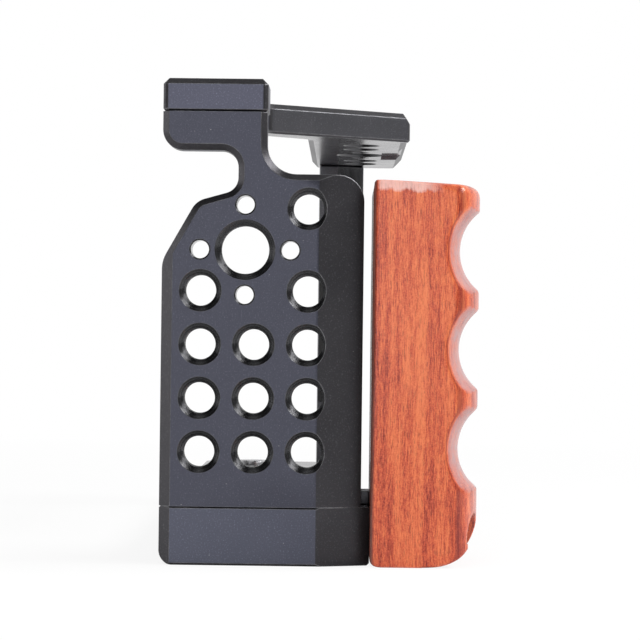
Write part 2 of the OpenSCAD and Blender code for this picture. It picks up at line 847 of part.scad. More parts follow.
module stop_screw() {
    color(black_steel)
    translate([stop_x + stop_w / 2, lug_front - stop_d / 2, base_h + stop_h - sink_extra])
        flat_screw(m2_r, m2_head_r, m2_head_h, stop_h + stop_thread - stop_screw_end);
}

module base_pads() {
    color(rubber) base_pad_boxes(0, base_h - pad_sunk, pad_t);
}

module roof_pad() {
    color(rubber)
    translate([roof_pad_x, roof_pad_y, top_z - post_pad_t])
        cube([roof_pad_w, roof_pad_d, post_pad_t]);
}

module post_pad() {
    color(rubber)
    translate([post_in_x - pad_sunk, post_pad_y, post_pad_z])
        cube([post_pad_t, post_pad_w, post_pad_h]);
}

side_plate();
top_plate();
left_post();
base_plate();
wood_grip();
grip_bolts();
grip_washers();
top_screws_right();
top_screw_left();
base_screws_right();
base_screw_left();
side_dowel();
post_dowels();
camera_screw();
screw_washer();
d_ring();
stop_block();
stop_screw();
base_pads();
roof_pad();
post_pad();
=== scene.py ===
import math
import bpy
from mathutils import Matrix, Quaternion, Vector


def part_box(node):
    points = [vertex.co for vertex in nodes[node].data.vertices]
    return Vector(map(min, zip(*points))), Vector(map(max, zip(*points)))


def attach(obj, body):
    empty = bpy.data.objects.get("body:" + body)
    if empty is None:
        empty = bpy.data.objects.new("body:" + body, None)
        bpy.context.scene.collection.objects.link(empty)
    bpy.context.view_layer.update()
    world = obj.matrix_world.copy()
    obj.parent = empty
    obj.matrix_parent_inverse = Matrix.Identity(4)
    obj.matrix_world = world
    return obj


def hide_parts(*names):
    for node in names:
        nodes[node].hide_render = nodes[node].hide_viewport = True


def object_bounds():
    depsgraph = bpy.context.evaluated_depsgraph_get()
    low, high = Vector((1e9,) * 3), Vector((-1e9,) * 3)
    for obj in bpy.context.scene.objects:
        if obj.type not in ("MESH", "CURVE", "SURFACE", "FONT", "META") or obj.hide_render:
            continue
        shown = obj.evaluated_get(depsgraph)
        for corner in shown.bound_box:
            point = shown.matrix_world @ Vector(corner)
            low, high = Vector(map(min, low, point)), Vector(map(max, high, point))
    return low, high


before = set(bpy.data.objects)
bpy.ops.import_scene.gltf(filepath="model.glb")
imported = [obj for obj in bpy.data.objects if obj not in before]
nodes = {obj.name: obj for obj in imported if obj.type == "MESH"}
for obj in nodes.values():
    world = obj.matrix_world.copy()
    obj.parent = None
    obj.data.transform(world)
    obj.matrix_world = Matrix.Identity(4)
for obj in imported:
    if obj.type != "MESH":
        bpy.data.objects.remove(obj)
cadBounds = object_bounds()
mm = 0.001
weld = 0.002  # points nearer to each other than this are merged, in millimetres
flatTurn = 0.3  # faces that differ by fewer degrees than this become one
tiny = 1e-6  # places nearer to each other than this count as the same, in metres
print("frame loaded:", len(nodes), "nodes")


# camera

cameraValues = {
    "place": (0.4870, 0.0040, 0.0402),
    "aim": (0.0720, -0.0002, 0.04148),
    "roll": 0.0123,  # the photograph leans clockwise by this much
    "lens": 138.9,
    "clipStart": 0.01,
}


def addCamera():
    place = Vector(cameraValues["place"])
    look = Vector(cameraValues["aim"]) - place
    bpy.ops.object.camera_add(location=place)
    camera = bpy.context.object
    camera.name = "studioCamera"
    camera.rotation_mode = "QUATERNION"
    turn = Quaternion((0, 0, 1), cameraValues["roll"])
    camera.rotation_quaternion = look.to_track_quat("-Z", "Y") @ turn
    camera.data.lens = cameraValues["lens"]
    camera.data.clip_start = cameraValues["clipStart"]
    bpy.context.scene.camera = camera


addCamera()
print("camera placed")


# selecting, editing and joining

def pick(piece):
    if bpy.context.object and bpy.context.object.mode != "OBJECT":
        bpy.ops.object.mode_set(mode="OBJECT")
    bpy.ops.object.select_all(action="DESELECT")
    piece.select_set(True)
    bpy.context.view_layer.objects.active = piece


def edit(piece, kind="VERT"):
    pick(piece)
    bpy.ops.object.mode_set(mode="EDIT")
    bpy.ops.mesh.select_mode(type=kind)
    bpy.ops.mesh.select_all(action="DESELECT")


def leaveEdit():
    bpy.ops.object.mode_set(mode="OBJECT")


def selectWhere(piece, kind, test):
    # selects the vertices, or the edges by their two ends, that pass the test, and stays in edit mode
    edit(piece, kind)
    leaveEdit()
    mesh = piece.data
    if kind == "VERT":
        for vertex in mesh.vertices:
            vertex.select = test(vertex.co)
    else:
        for edge in mesh.edges:
            edge.select = test(*[mesh.vertices[end].co for end in edge.vertices])
    bpy.ops.object.mode_set(mode="EDIT")


def applyPlace(piece):
    pick(piece)
    bpy.ops.object.transform_apply(location=True, rotation=True, scale=True)


def addBlock(name, low, high):
    # a cube primitive from one corner to the other, in millimetres
    low, high = Vector(low) * mm, Vector(high) * mm
    bpy.ops.mesh.primitive_cube_add(size=1, location=(low + high) / 2)
    piece = bpy.context.object
    piece.name = name
    piece.scale = high - low
    applyPlace(piece)
    return piece


def addRod(name, start, direction, length, radius, sides=64, endRadius=None):
    # a cylinder or cone primitive from a point along a direction, in millimetres
    direction = Vector(direction).normalized()
    middle = (Vector(start) + direction * length / 2) * mm
    turn = direction.to_track_quat("Z", "Y").to_euler()
    farRadius = radius if endRadius is None else endRadius
    bpy.ops.mesh.primitive_cone_add(vertices=sides, radius1=radius * mm, radius2=farRadius * mm,
                                    depth=length * mm, location=middle, rotation=turn)
    piece = bpy.context.object
    piece.name = name
    applyPlace(piece)
    return piece


def placeAlong(piece, start, direction):
    # moves a piece that was made upright at the origin to a point, pointing along a direction
    turn = Vector(direction).to_track_quat("Z", "Y").to_matrix().to_4x4()
    piece.matrix_world = Matrix.Translation(Vector(start) * mm) @ turn
    applyPlace(piece)
    return piece


def turned(name, profile, sides=64):
    # a lathe-turned piece round the Z axis; profile holds (radius, height) pairs in millimetres
    bpy.ops.mesh.primitive_plane_add(size=mm)
    piece = bpy.context.object
    piece.name = name
    edit(piece)
    bpy.ops.mesh.select_all(action="SELECT")
    bpy.ops.mesh.merge(type="CENTER")
    bpy.ops.transform.translate(value=(profile[0][0] * mm, 0, profile[0][1] * mm))
    for (fromRadius, fromHeight), (toRadius, toHeight) in zip(profile, profile[1:]):
        step = ((toRadius - fromRadius) * mm, 0, (toHeight - fromHeight) * mm)
        bpy.ops.mesh.extrude_region_move(TRANSFORM_OT_translate={"value": step})
    bpy.ops.mesh.select_all(action="SELECT")
    bpy.ops.mesh.spin(steps=sides, angle=math.tau, center=(0, 0, 0), axis=(0, 0, 1))
    leaveEdit()
    outwards(piece)
    return piece


def copyOf(piece, name, offset):
    pick(piece)
    bpy.ops.object.duplicate()
    double = bpy.context.object
    double.name = name
    bpy.ops.transform.translate(value=Vector(offset) * mm)
    applyPlace(double)
    return double


def applyModifier(piece, kind, **values):
    pick(piece)
    modifier = piece.modifiers.new(kind.lower(), kind)
    for key, value in values.items():
        setattr(modifier, key, value)
    bpy.ops.object.modifier_apply(modifier=modifier.name)


def combine(piece, tool, operation="DIFFERENCE"):
    # cuts the tool from the piece, or adds it, and uses the tool up
    applyModifier(piece, "BOOLEAN", operation=operation, solver="EXACT", object=tool)
    bpy.data.objects.remove(tool)


def join(name, pieces):
    pick(pieces[0])
    for piece in pieces:
        piece.select_set(True)
    bpy.ops.object.join()
    pieces[0].name = name
    return pieces[0]


def outwards(piece):
    # merges doubles and turns all faces outwards
    edit(piece)
    bpy.ops.mesh.select_all(action="SELECT")
    bpy.ops.mesh.remove_doubles(threshold=weld * mm)
    bpy.ops.mesh.normals_make_consistent(inside=False)
    leaveEdit()


def smooth(piece, angle):
    # rounded sides shade smoothly up to this angle, in degrees
    pick(piece)
    bpy.ops.object.shade_smooth_by_angle(angle=math.radians(angle))


def copyOfNode(nodeName, pieceName):
    # a new piece with the CAD node's shape, which then stands for that node
    piece = bpy.data.objects.new(pieceName, nodes[nodeName].data.copy())
    bpy.context.scene.collection.objects.link(piece)
    pick(piece)
    if piece.data.has_custom_normals:
        bpy.ops.mesh.customdata_custom_splitnormals_clear()
    edit(piece)
    bpy.ops.mesh.select_all(action="SELECT")
    bpy.ops.mesh.remove_doubles(threshold=weld * mm)
    bpy.ops.mesh.dissolve_limited(angle_limit=math.radians(flatTurn))
    leaveEdit()
    piece.data.materials.clear()
    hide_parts(nodeName)
    return piece


# shader nodes

def rgb(red, green, blue):
    # a colour as seen on screen, 0 to 255, as the linear value that a socket takes
    return tuple(((c / 255 + 0.055) / 1.055) ** 2.4 if c > 10 else c / 255 / 12.92
                 for c in (red, green, blue)) + (1,)


def addNode(tree, kind, inputs=None, **settings):
    node = tree.nodes.new(kind)
    for key, value in settings.items():
        setattr(node, key, value)
    for key, value in (inputs or {}).items():
        if isinstance(value, bpy.types.NodeSocket):
            tree.links.new(value, node.inputs[key])
        else:
            node.inputs[key].default_value = value
    return node


def maths(tree, operation, first, second=0.0, third=0.0):
    inputs = {0: first, 1: second, 2: third}
    return addNode(tree, "ShaderNodeMath", inputs, operation=operation).outputs[0]


def product(tree, first, *others):
    for other in others:
        first = maths(tree, "MULTIPLY", first, other)
    return first


def noise(tree, place, scale, detail=2.0, roughness=0.5):
    inputs = {"Vector": place, "Scale": scale, "Detail": detail, "Roughness": roughness}
    return addNode(tree, "ShaderNodeTexNoise", inputs).outputs[0]


def between(tree, value, low, high, lowTo=0.0, highTo=1.0):
    # maps low to lowTo and high to highTo, and stays between these two
    inputs = {"Value": value, "From Min": low, "From Max": high, "To Min": lowTo, "To Max": highTo}
    return addNode(tree, "ShaderNodeMapRange", inputs, clamp=True).outputs[0]


def blendColours(tree, share, first, second):
    # sockets 6 and 7 are the mix node's two colours, and output 2 is its colour
    mix = addNode(tree, "ShaderNodeMix", {"Factor": share, 6: first, 7: second}, data_type="RGBA")
    return mix.outputs[2]


def bumpFrom(tree, height, distance, strength, normal=None):
    inputs = {"Height": height, "Distance": distance, "Strength": strength}
    if normal is not None:
        inputs["Normal"] = normal
    return addNode(tree, "ShaderNodeBump", inputs).outputs[0]


def newGroup(name, inputs, outputs):
    tree = bpy.data.node_groups.new(name, "ShaderNodeTree")
    for label, kind, value in inputs:
        socket = tree.interface.new_socket(name=label, in_out="INPUT", socket_type="NodeSocket" + kind)
        if value is not None:
            socket.default_value = value
    for label, kind in outputs:
        tree.interface.new_socket(name=label, in_out="OUTPUT", socket_type="NodeSocket" + kind)
    return tree, tree.nodes.new("NodeGroupInput"), tree.nodes.new("NodeGroupOutput")


def fillGroup(tree, group, inputs):
    return addNode(tree, "ShaderNodeGroup", inputs, node_tree=group)


surfaceValues = {
    "grainRoughness": 0.65,
    "pitShare": 0.5,
    "speckRange": (0.56, 0.74),
    "cloudScale": 90.0,
    "edgeRange": (0.995, 0.93),
    "edgePatchScale": 420.0,
    "edgePatchRange": (0.35, 0.7, 0.25, 1.0),
    "dustFew": (0.55, 0.95),
    "dustSize": (0.06, 0.02),
}


def makeBlastedGrain():
    # the fine pitted grain of bead-blasted metal, with cloudy patches and a few specks
    tree, source, result = newGroup(
        "blastedGrain",
        [("Vector", "Vector", None), ("Grain Size", "Float", 0.2)],
        [("Height", "Float"), ("Speck", "Float"), ("Cloud", "Float")])
    place = source.outputs["Vector"]
    scale = maths(tree, "DIVIDE", 1 / mm, source.outputs["Grain Size"])
    fine = noise(tree, place, scale, 3.0, surfaceValues["grainRoughness"])
    pits = addNode(tree, "ShaderNodeTexVoronoi", {"Vector": place, "Scale": scale})
    cloud = noise(tree, place, surfaceValues["cloudScale"], 3.0)
    pitted = product(tree, pits.outputs["Distance"], surfaceValues["pitShare"])
    tree.links.new(maths(tree, "ADD", fine, pitted), result.inputs["Height"])
    tree.links.new(between(tree, fine, *surfaceValues["speckRange"]), result.inputs["Speck"])
    tree.links.new(cloud, result.inputs["Cloud"])
    return tree


def makeEdgeWearAndHighlight():
    # where an edge is worn and where it carries a painted highlight: the rounded normal differs from the
    # true one
    tree, source, result = newGroup(
        "edgeWearAndHighlight",
        [("Vector", "Vector", None), ("Radius", "Float", 0.25 * mm), ("Amount", "Float", 1.0)],
        [("Mask", "Float"), ("Normal", "Vector")])
    rounded = addNode(tree, "ShaderNodeBevel", {"Radius": source.outputs["Radius"]}, samples=6)
    true = addNode(tree, "ShaderNodeNewGeometry")
    dot = addNode(tree, "ShaderNodeVectorMath", {0: rounded.outputs[0], 1: true.outputs["Normal"]},
                  operation="DOT_PRODUCT")
    edge = between(tree, dot.outputs["Value"], *surfaceValues["edgeRange"])
    patchy = noise(tree, source.outputs["Vector"], surfaceValues["edgePatchScale"], 4.0, 0.7)
    patches = between(tree, patchy, *surfaceValues["edgePatchRange"])
    tree.links.new(product(tree, edge, patches, source.outputs["Amount"]), result.inputs["Mask"])
    tree.links.new(rounded.outputs[0], result.inputs["Normal"])
    return tree


def makeDustSpecks():
    # sparse pale dust
    tree, source, result = newGroup(
        "dustSpecks",
        [("Vector", "Vector", None), ("Spacing", "Float", 2.0), ("Amount", "Float", 1.0)],
        [("Mask", "Float")])
    scale = maths(tree, "DIVIDE", 1 / mm, source.outputs["Spacing"])
    dots = addNode(tree, "ShaderNodeTexVoronoi", {"Vector": source.outputs["Vector"], "Scale": scale})
    chance = addNode(tree, "ShaderNodeSeparateColor", {0: dots.outputs["Color"]}).outputs[0]
    few = between(tree, chance, *surfaceValues["dustFew"])
    spot = between(tree, dots.outputs["Distance"], *surfaceValues["dustSize"])
    tree.links.new(product(tree, few, spot, source.outputs["Amount"]), result.inputs["Mask"])
    return tree


blastedGrain = makeBlastedGrain()
edgeWearAndHighlight = makeEdgeWearAndHighlight()
dustSpecks = makeDustSpecks()


def newMaterial(name):
    material = bpy.data.materials.new(name)
    material.use_nodes = True
    tree = material.node_tree
    tree.nodes.clear()
    shader = addNode(tree, "ShaderNodeBsdfPrincipled")
    result = addNode(tree, "ShaderNodeOutputMaterial")
    tree.links.new(shader.outputs[0], result.inputs[0])
    place = addNode(tree, "ShaderNodeTexCoord").outputs["Object"]
    return material, tree, shader, place


anodisedValues = {
    "worn": rgb(165, 165, 168),
    "dust": rgb(205, 203, 200),
    "dustAmount": 0.35,
    "cloudRange": (0.35, 0.65),
    "cloudShade": 0.9,
    "speckGain": 2.2,
    "speckLift": 0.01,
    "speckShare": 0.6,
    "glossSpread": 0.03,
    "bump": 0.6,
}


def anodised(name, colour, roughness=0.4, rub=0.5, grain=0.26, depth=0.03):
    # bead-blasted and dyed: satin, with a fine grain, faint clouds, edges paler from wear and from a painted
    # highlight, and a little dust;
    # the grain's size and depth are in millimetres
    values = anodisedValues
    material, tree, shader, place = newMaterial(name)
    blast = fillGroup(tree, blastedGrain, {"Vector": place, "Grain Size": grain})
    wearAndHighlight = fillGroup(tree, edgeWearAndHighlight, {"Vector": place, "Amount": rub})
    dust = fillGroup(tree, dustSpecks, {"Vector": place, "Amount": values["dustAmount"]})
    brighter = tuple(min(1, c * values["speckGain"] + values["speckLift"]) for c in colour[:3]) + (1,)
    darker = tuple(c * values["cloudShade"] for c in colour[:3]) + (1,)
    clouds = between(tree, blast.outputs["Cloud"], *values["cloudRange"])
    clouded = blendColours(tree, clouds, darker, colour)
    specks = product(tree, blast.outputs["Speck"], values["speckShare"])
    specked = blendColours(tree, specks, clouded, brighter)
    worn = blendColours(tree, wearAndHighlight.outputs["Mask"], specked, values["worn"])
    dusty = blendColours(tree, dust.outputs["Mask"], worn, values["dust"])
    bump = bumpFrom(tree, blast.outputs["Height"], depth * mm, values["bump"], wearAndHighlight.outputs["Normal"])
    spread = values["glossSpread"]
    gloss = between(tree, blast.outputs["Cloud"], 0.3, 0.7, roughness - spread, roughness + spread)
    tree.links.new(dusty, shader.inputs["Base Color"])
    tree.links.new(bump, shader.inputs["Normal"])
    tree.links.new(gloss, shader.inputs["Roughness"])
    shader.inputs["Metallic"].default_value = 1.0
    return material


boreValues = {
    "bright": rgb(98, 98, 100),
    "ringScale": 11000.0,
    "ringDepth": 0.03,
    "glossier": 0.06,
    "duller": 0.1,
    "bump": 0.7,
}


def turnedHole(name, colour, roughness=0.2):
    # a bore or countersink: glossy, with the fine rings that the cutting tool leaves
    values = boreValues
    material, tree, shader, place = newMaterial(name)
    radial = addNode(tree, "ShaderNodeAttribute", attribute_name="ringRadius").outputs["Fac"]
    inputs = {"W": product(tree, radial, values["ringScale"]), "Scale": 1.0, "Detail": 3.0, "Roughness": 0.6}
    rings = addNode(tree, "ShaderNodeTexNoise", inputs, noise_dimensions="1D").outputs[0]
    bump = bumpFrom(tree, rings, values["ringDepth"] * mm, values["bump"])
    gloss = between(tree, rings, 0.3, 0.7, roughness - values["glossier"], roughness + values["duller"])
    tree.links.new(blendColours(tree, rings, colour, values["bright"]), shader.inputs["Base Color"])
    tree.links.new(bump, shader.inputs["Normal"])
    tree.links.new(gloss, shader.inputs["Roughness"])
    shader.inputs["Metallic"].default_value = 1.0
    return material


steelValues = {
    "worn": rgb(170, 168, 165),
    "edgeRadius": 0.15,
    "edgeAmount": 0.5,
    "scratchScale": 2500.0,
    "scratchDepth": 0.01,
    "glossSpread": 0.08,
    "bump": 0.5,
}


def steel(name, colour, roughness, metallic=1.0):
    # machined steel with fine scratches and worn edges
    values = steelValues
    material, tree, shader, place = newMaterial(name)
    wearAndHighlight = fillGroup(tree, edgeWearAndHighlight, {
        "Vector": place, "Radius": values["edgeRadius"] * mm, "Amount": values["edgeAmount"]})
    scratches = noise(tree, place, values["scratchScale"], 4.0, 0.7)
    bump = bumpFrom(tree, scratches, values["scratchDepth"] * mm, values["bump"], wearAndHighlight.outputs["Normal"])
    worn = blendColours(tree, wearAndHighlight.outputs["Mask"], colour, values["worn"])
    spread = values["glossSpread"]
    gloss = between(tree, scratches, 0.3, 0.7, roughness - spread, roughness + spread)
    tree.links.new(worn, shader.inputs["Base Color"])
    tree.links.new(bump, shader.inputs["Normal"])
    tree.links.new(gloss, shader.inputs["Roughness"])
    shader.inputs["Metallic"].default_value = metallic
    return material


rubberValues = {
    "dark": rgb(24, 24, 25),
    "light": rgb(44, 43, 43),
    "pebbleScale": 3000.0,
    "pebbleDepth": 0.04,
    "bump": 0.5,
    "roughness": 0.7,
}


def rubber(name):
    values = rubberValues
    material, tree, shader, place = newMaterial(name)
    pebble = noise(tree, place, values["pebbleScale"])
    bump = bumpFrom(tree, pebble, values["pebbleDepth"] * mm, values["bump"])
    tone = blendColours(tree, pebble, values["dark"], values["light"])
    tree.links.new(tone, shader.inputs["Base Color"])
    tree.links.new(bump, shader.inputs["Normal"])
    shader.inputs["Roughness"].default_value = values["roughness"]
    return material


# grains are (across, along, detail, roughness), shares say how much each counts in the wood's tone,
# and the depths are in millimetres
woodValues = {
    "dark": rgb(120, 30, 16),
    "middle": rgb(190, 75, 44),
    "light": rgb(222, 118, 70),
    "toneStops": (0.412, 0.48, 0.568),
    "pore": rgb(78, 20, 10),
    "wearAndHighlight": rgb(228, 188, 180),
    "haze": rgb(166, 126, 126),
    "shade": rgb(112, 36, 34),
    "rearShade": rgb(66, 32, 24),
    "swayScale": 28.0,
    "sway": 3.0,
    "bands": (260, 10, 2.0, 0.5),
    "strands": (1100, 60, 3.0, 0.6),
    "fibres": (7000, 420, 3.0, 0.8),
    "pores": (6000, 600, 1.0, 0.5),
    "speckleScale": 4200.0,
    "bandShare": 0.24,
    "strandShare": 0.24,
    "fibreShare": 0.38,
    "speckleShare": 0.14,
    "poreRange": (0.6, 0.7),
    "poreShare": 0.45,
    "turnFromSide": (0.995, 0.96),
    "turnToFront": (0.6, 0.85),
    "turnForward": (0.05, 0.2),
    "shadeShare": 0.55,
    "rearShadeShare": 0.85,
    "rearY": (9.3, 8.9),
    "rimRise": (65.5, 66.0),
    "rimTilt": 0.025,
    "rimPatches": 1.6,
    "rimStrands": 2.0,
    "rimRear": (9.2, 9.8),
    "rimFront": (20.5, 17.0),
    "rimFacing": (0.97, 0.8),
    "rimFibres": (0.3, 0.5, 0.45, 0.75),
    "sheenGrazing": (0.4, 0.7),
    "sheenPatches": (0.35, 0.65, 0.4, 0.95),
    "patchScale": 520.0,
    "rippleScale": 500.0,
    "rippleGrain": 0.3,
    "edgeRadius": 0.4,
    "edgeAmount": 0.55,
    "grainDepth": 0.04,
    "grainBump": 0.4,
    "poreSink": 0.8,
    "lacquerDepth": 0.03,
    "lacquerBump": 0.5,
    "roughness": 0.5,
    "specular": 0.15,
    "lacquer": 0.6,
    "lacquerRoughness": 0.14,
}


def lacqueredWood(name):
    # open-grained hardwood: broad bands, fine fibres, short dark pores and a thin uneven lacquer
    values = woodValues
    material, tree, shader, place = newMaterial(name)
    inputs = {"Vector": place, "Scale": values["swayScale"], "Detail": 1.0}
    sway = addNode(tree, "ShaderNodeTexNoise", inputs).outputs["Color"]
    reach = (values["sway"] * mm, values["sway"] * mm, 0.0)
    swayed = addNode(tree, "ShaderNodeVectorMath", {0: sway, 1: reach}, operation="MULTIPLY")
    along = addNode(tree, "ShaderNodeVectorMath", {0: place, 1: swayed.outputs[0]}, operation="ADD")

    def grain(kind):
        across, up, detail, roughness = values[kind]
        inputs = {"Vector": along.outputs[0], "Scale": (across, across, up)}
        stretched = addNode(tree, "ShaderNodeMapping", inputs).outputs[0]
        return noise(tree, stretched, 1.0, detail, roughness)

    def limits(kind):
        return [edge * mm for edge in values[kind]]

    strands, fibres = grain("strands"), grain("fibres")
    speckle = noise(tree, place, values["speckleScale"])
    broad = maths(tree, "ADD", product(tree, grain("bands"), values["bandShare"]),
                  product(tree, strands, values["strandShare"]))
    fine = maths(tree, "ADD", product(tree, fibres, values["fibreShare"]),
                 product(tree, speckle, values["speckleShare"]))
    ramp = addNode(tree, "ShaderNodeValToRGB", {"Fac": maths(tree, "ADD", broad, fine)})
    stops = ramp.color_ramp.elements
    low, middle, high = values["toneStops"]
    stops[0].position = low
    stops[0].color = values["dark"]
    stops[1].position = high
    stops[1].color = values["light"]
    stops.new(middle).color = values["middle"]
    pore = between(tree, grain("pores"), *values["poreRange"])
    colour = blendColours(tree, product(tree, pore, values["poreShare"]), ramp.outputs[0], values["pore"])

    # painted shade along the rear edge, and a painted dark band where the flat side turns into the round
    # front
    spot = addNode(tree, "ShaderNodeSeparateXYZ", {0: place})
    facing = addNode(tree, "ShaderNodeNewGeometry").outputs["Normal"]
    normal = addNode(tree, "ShaderNodeSeparateXYZ", {0: facing})
    sideways = maths(tree, "ABSOLUTE", normal.outputs["X"])
    turn = product(tree, between(tree, sideways, *values["turnFromSide"]),
                   between(tree, sideways, *values["turnToFront"]),
                   between(tree, normal.outputs["Y"], *values["turnForward"]), values["shadeShare"])
    colour = blendColours(tree, turn, colour, values["shade"])
    rear = product(tree, between(tree, spot.outputs["Y"], *limits("rearY")), values["rearShadeShare"])
    colour = blendColours(tree, rear, colour, values["rearShade"])

    # painted sheen in the grooves where they are seen at a slant, and painted highlights along the edges and
    # under the top rim
    patches = noise(tree, place, values["patchScale"], 4.0)
    held = addNode(tree, "ShaderNodeAttribute", attribute_name="held").outputs["Fac"]
    grazing = addNode(tree, "ShaderNodeLayerWeight", {"Blend": 0.5}).outputs["Facing"]
    haze = product(tree, held, between(tree, grazing, *values["sheenGrazing"]),
                   between(tree, patches, *values["sheenPatches"]))
    colour = blendColours(tree, haze, colour, values["haze"])
    # the ragged pale band under the top rim is a painted highlight
    ragged = maths(tree, "ADD", product(tree, patches, values["rimPatches"] * mm),
                   product(tree, strands, values["rimStrands"] * mm))
    level = maths(tree, "MULTIPLY_ADD", spot.outputs["Y"], values["rimTilt"], spot.outputs["Z"])
    rim = product(tree, between(tree, maths(tree, "ADD", level, ragged), *limits("rimRise")),
                  between(tree, spot.outputs["Y"], *limits("rimRear")),
                  between(tree, spot.outputs["Y"], *limits("rimFront")),
                  between(tree, normal.outputs["Z"], *values["rimFacing"]),
                  between(tree, fibres, *values["rimFibres"]))
    wearAndHighlight = fillGroup(tree, edgeWearAndHighlight, {
        "Vector": place, "Radius": values["edgeRadius"] * mm, "Amount": values["edgeAmount"]})
    pale = maths(tree, "MAXIMUM", wearAndHighlight.outputs["Mask"], rim)
    colour = blendColours(tree, pale, colour, values["wearAndHighlight"])

    # open pores under a lacquer that ripples a little
    height = maths(tree, "SUBTRACT", fibres, product(tree, pore, values["poreSink"]))
    bump = bumpFrom(tree, height, values["grainDepth"] * mm, values["grainBump"])
    ripple = maths(tree, "ADD", noise(tree, place, values["rippleScale"]),
                   product(tree, fibres, values["rippleGrain"]))
    lacquer = bumpFrom(tree, ripple, values["lacquerDepth"] * mm, values["lacquerBump"])
    tree.links.new(colour, shader.inputs["Base Color"])
    tree.links.new(bump, shader.inputs["Normal"])
    tree.links.new(lacquer, shader.inputs["Coat Normal"])
    shader.inputs["Roughness"].default_value = values["roughness"]
    shader.inputs["Specular IOR Level"].default_value = values["specular"]
    shader.inputs["Coat Weight"].default_value = values["lacquer"]
    shader.inputs["Coat Roughness"].default_value = values["lacquerRoughness"]
    return material


plateMetal = anodised("plateMetal", rgb(75, 76, 86))
topMetal = anodised("topMetal", rgb(87, 88, 101))
baseMetal = anodised("baseMetal", rgb(86, 88, 100))
# painted shade: a darker, neutral copy of the anodising for facets and bevels, with stronger painted
# highlights on its edges
shadedFacetMetal = anodised("shadedFacetMetal", rgb(69, 68, 71), rub=0.9)
# a smoother copy of the anodising whose paler colour is a painted reflection
smoothPaintedSheenMetal = anodised("smoothPaintedSheenMetal", rgb(108, 106, 110), 0.24, rub=0.3, grain=0.16, depth=0.006)
blackMetal = anodised("blackMetal", rgb(84, 84, 88))
postMetal = anodised("postMetal", rgb(84, 84, 88), 0.36, depth=0.002)
holeMetal = turnedHole("holeMetal", rgb(50, 50, 52))
blackSteel = steel("blackSteel", rgb(40, 40, 42), 0.35, 0.6)
brightSteel = steel("brightSteel", rgb(190, 190, 192), 0.28)
padRubber = rubber("padRubber")
gripWood = lacqueredWood("gripWood")
print("materials made")


# metal pieces

# radius of the hole, reach of its countersink and pitch of its thread, in millimetres
holeValues = {
    "quarter": {"radius": 2.6, "sink": 3.6, "pitch": 1.27},
    "threeEighths": {"radius": 4.05, "sink": 5.1, "pitch": 1.5875},
    "pin": {"radius": 1.525, "sink": 1.8, "pitch": 0},
}
pinRing = 7.6  # distance of the locating pins from the middle of their large hole

# the ridge that cuts a thread: its overlap in millimetres, the rest as shares of the pitch
threadValues = {
    "overlap": 0.12,
    "halfWidth": 0.44,
    "depth": 0.43,
    "steps": 28,
}


def threadCutter(centre, direction, radius, pitch, length, inward=False):
    # a V-shaped ridge wound round an axis, which cuts a thread into a hole's wall or into a shaft
    values = threadValues
    turns = math.ceil(length / pitch) + 1
    side = -1 if inward else 1
    bpy.ops.mesh.primitive_circle_add(vertices=3, radius=mm)
    ridge = bpy.context.object
    foot = radius - side * values["overlap"]
    corners = ((foot, -values["halfWidth"] * pitch), (radius + side * values["depth"] * pitch, 0),
               (foot, values["halfWidth"] * pitch))
    for vertex, (out, up) in zip(ridge.data.vertices, corners):
        vertex.co = Vector((out, 0, up)) * mm
    applyModifier(ridge, "SCREW", axis="Z", screw_offset=pitch * mm, iterations=turns, steps=values["steps"],
                  render_steps=values["steps"], use_normal_calculate=True)
    last = len(ridge.data.vertices)
    for end in (range(3), range(last - 3, last)):
        selectWhere(ridge, "VERT", lambda co: False)
        leaveEdit()
        for index in end:
            ridge.data.vertices[index].select = True
        bpy.ops.object.mode_set(mode="EDIT")
        bpy.ops.mesh.edge_face_add()
        leaveEdit()
    placeAlong(ridge, Vector(centre) - Vector(direction) * turns * pitch / 2, direction)
    outwards(ridge)
    return ridge


# how straight a face has to look along a direction, as the cosine of the angle between them
faceValues = {
    "alongHole": 0.97,
    "facet": 0.995,
    "broad": 0.985,
    "smoothAngle": 24,  # in degrees: flatter edges than this are blended
}


def slotOf(piece, material):
    return piece.data.materials.find(material.name)


def dressHoles(piece, holes, direction, depth, materials):
    # cuts the threads, then marks the holes' own faces and their distance from the hole's axis
    direction = Vector(direction)
    threads = [threadCutter(centre, direction, holeValues[kind]["radius"], holeValues[kind]["pitch"], depth)
               for kind, centre in holes if depth and holeValues[kind]["pitch"]]
    if threads:
        combine(piece, join("threads", threads))
    for material in materials:
        piece.data.materials.append(material)
    mesh = piece.data
    axes = [(Vector(centre) * mm, holeValues[kind]["sink"] * mm) for kind, centre in holes]
    attribute = mesh.attributes.new("ringRadius", "FLOAT", "POINT")
    for face in mesh.polygons:
        if abs(face.normal.dot(direction)) > faceValues["alongHole"]:
            continue
        for centre, reach in axes:
            off = face.center - centre
            off -= direction * off.dot(direction)
            if off.length < reach:
                face.material_index = slotOf(piece, holeMetal)
                for index in face.vertices:
                    away = mesh.vertices[index].co - centre
                    attribute.data[index].value = (away - direction * away.dot(direction)).length
                break


def markFacet(piece, normal, material):
    for face in piece.data.polygons:
        if face.normal.dot(Vector(normal)) > faceValues["facet"]:
            face.material_index = slotOf(piece, material)


def markBevels(piece, material):
    # bevelled and rounded edges get the darker, neutral copy of the anodising as painted shade, where the
    # broad faces look bluish
    for face in piece.data.polygons:
        if face.material_index == 0 and max(abs(value) for value in face.normal) < faceValues["broad"]:
            face.material_index = slotOf(piece, material)


def finishMetal(piece):
    # broad faces keep one even normal, and only the rounded ones are blended
    smooth(piece, faceValues["smoothAngle"])
    applyModifier(piece, "WEIGHTED_NORMAL", keep_sharp=True, weight=100)
    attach(piece, "cage")


rearY = cadBounds[0][1] / mm
frontY = cadBounds[1][1] / mm
topZ = cadBounds[1][2] / mm

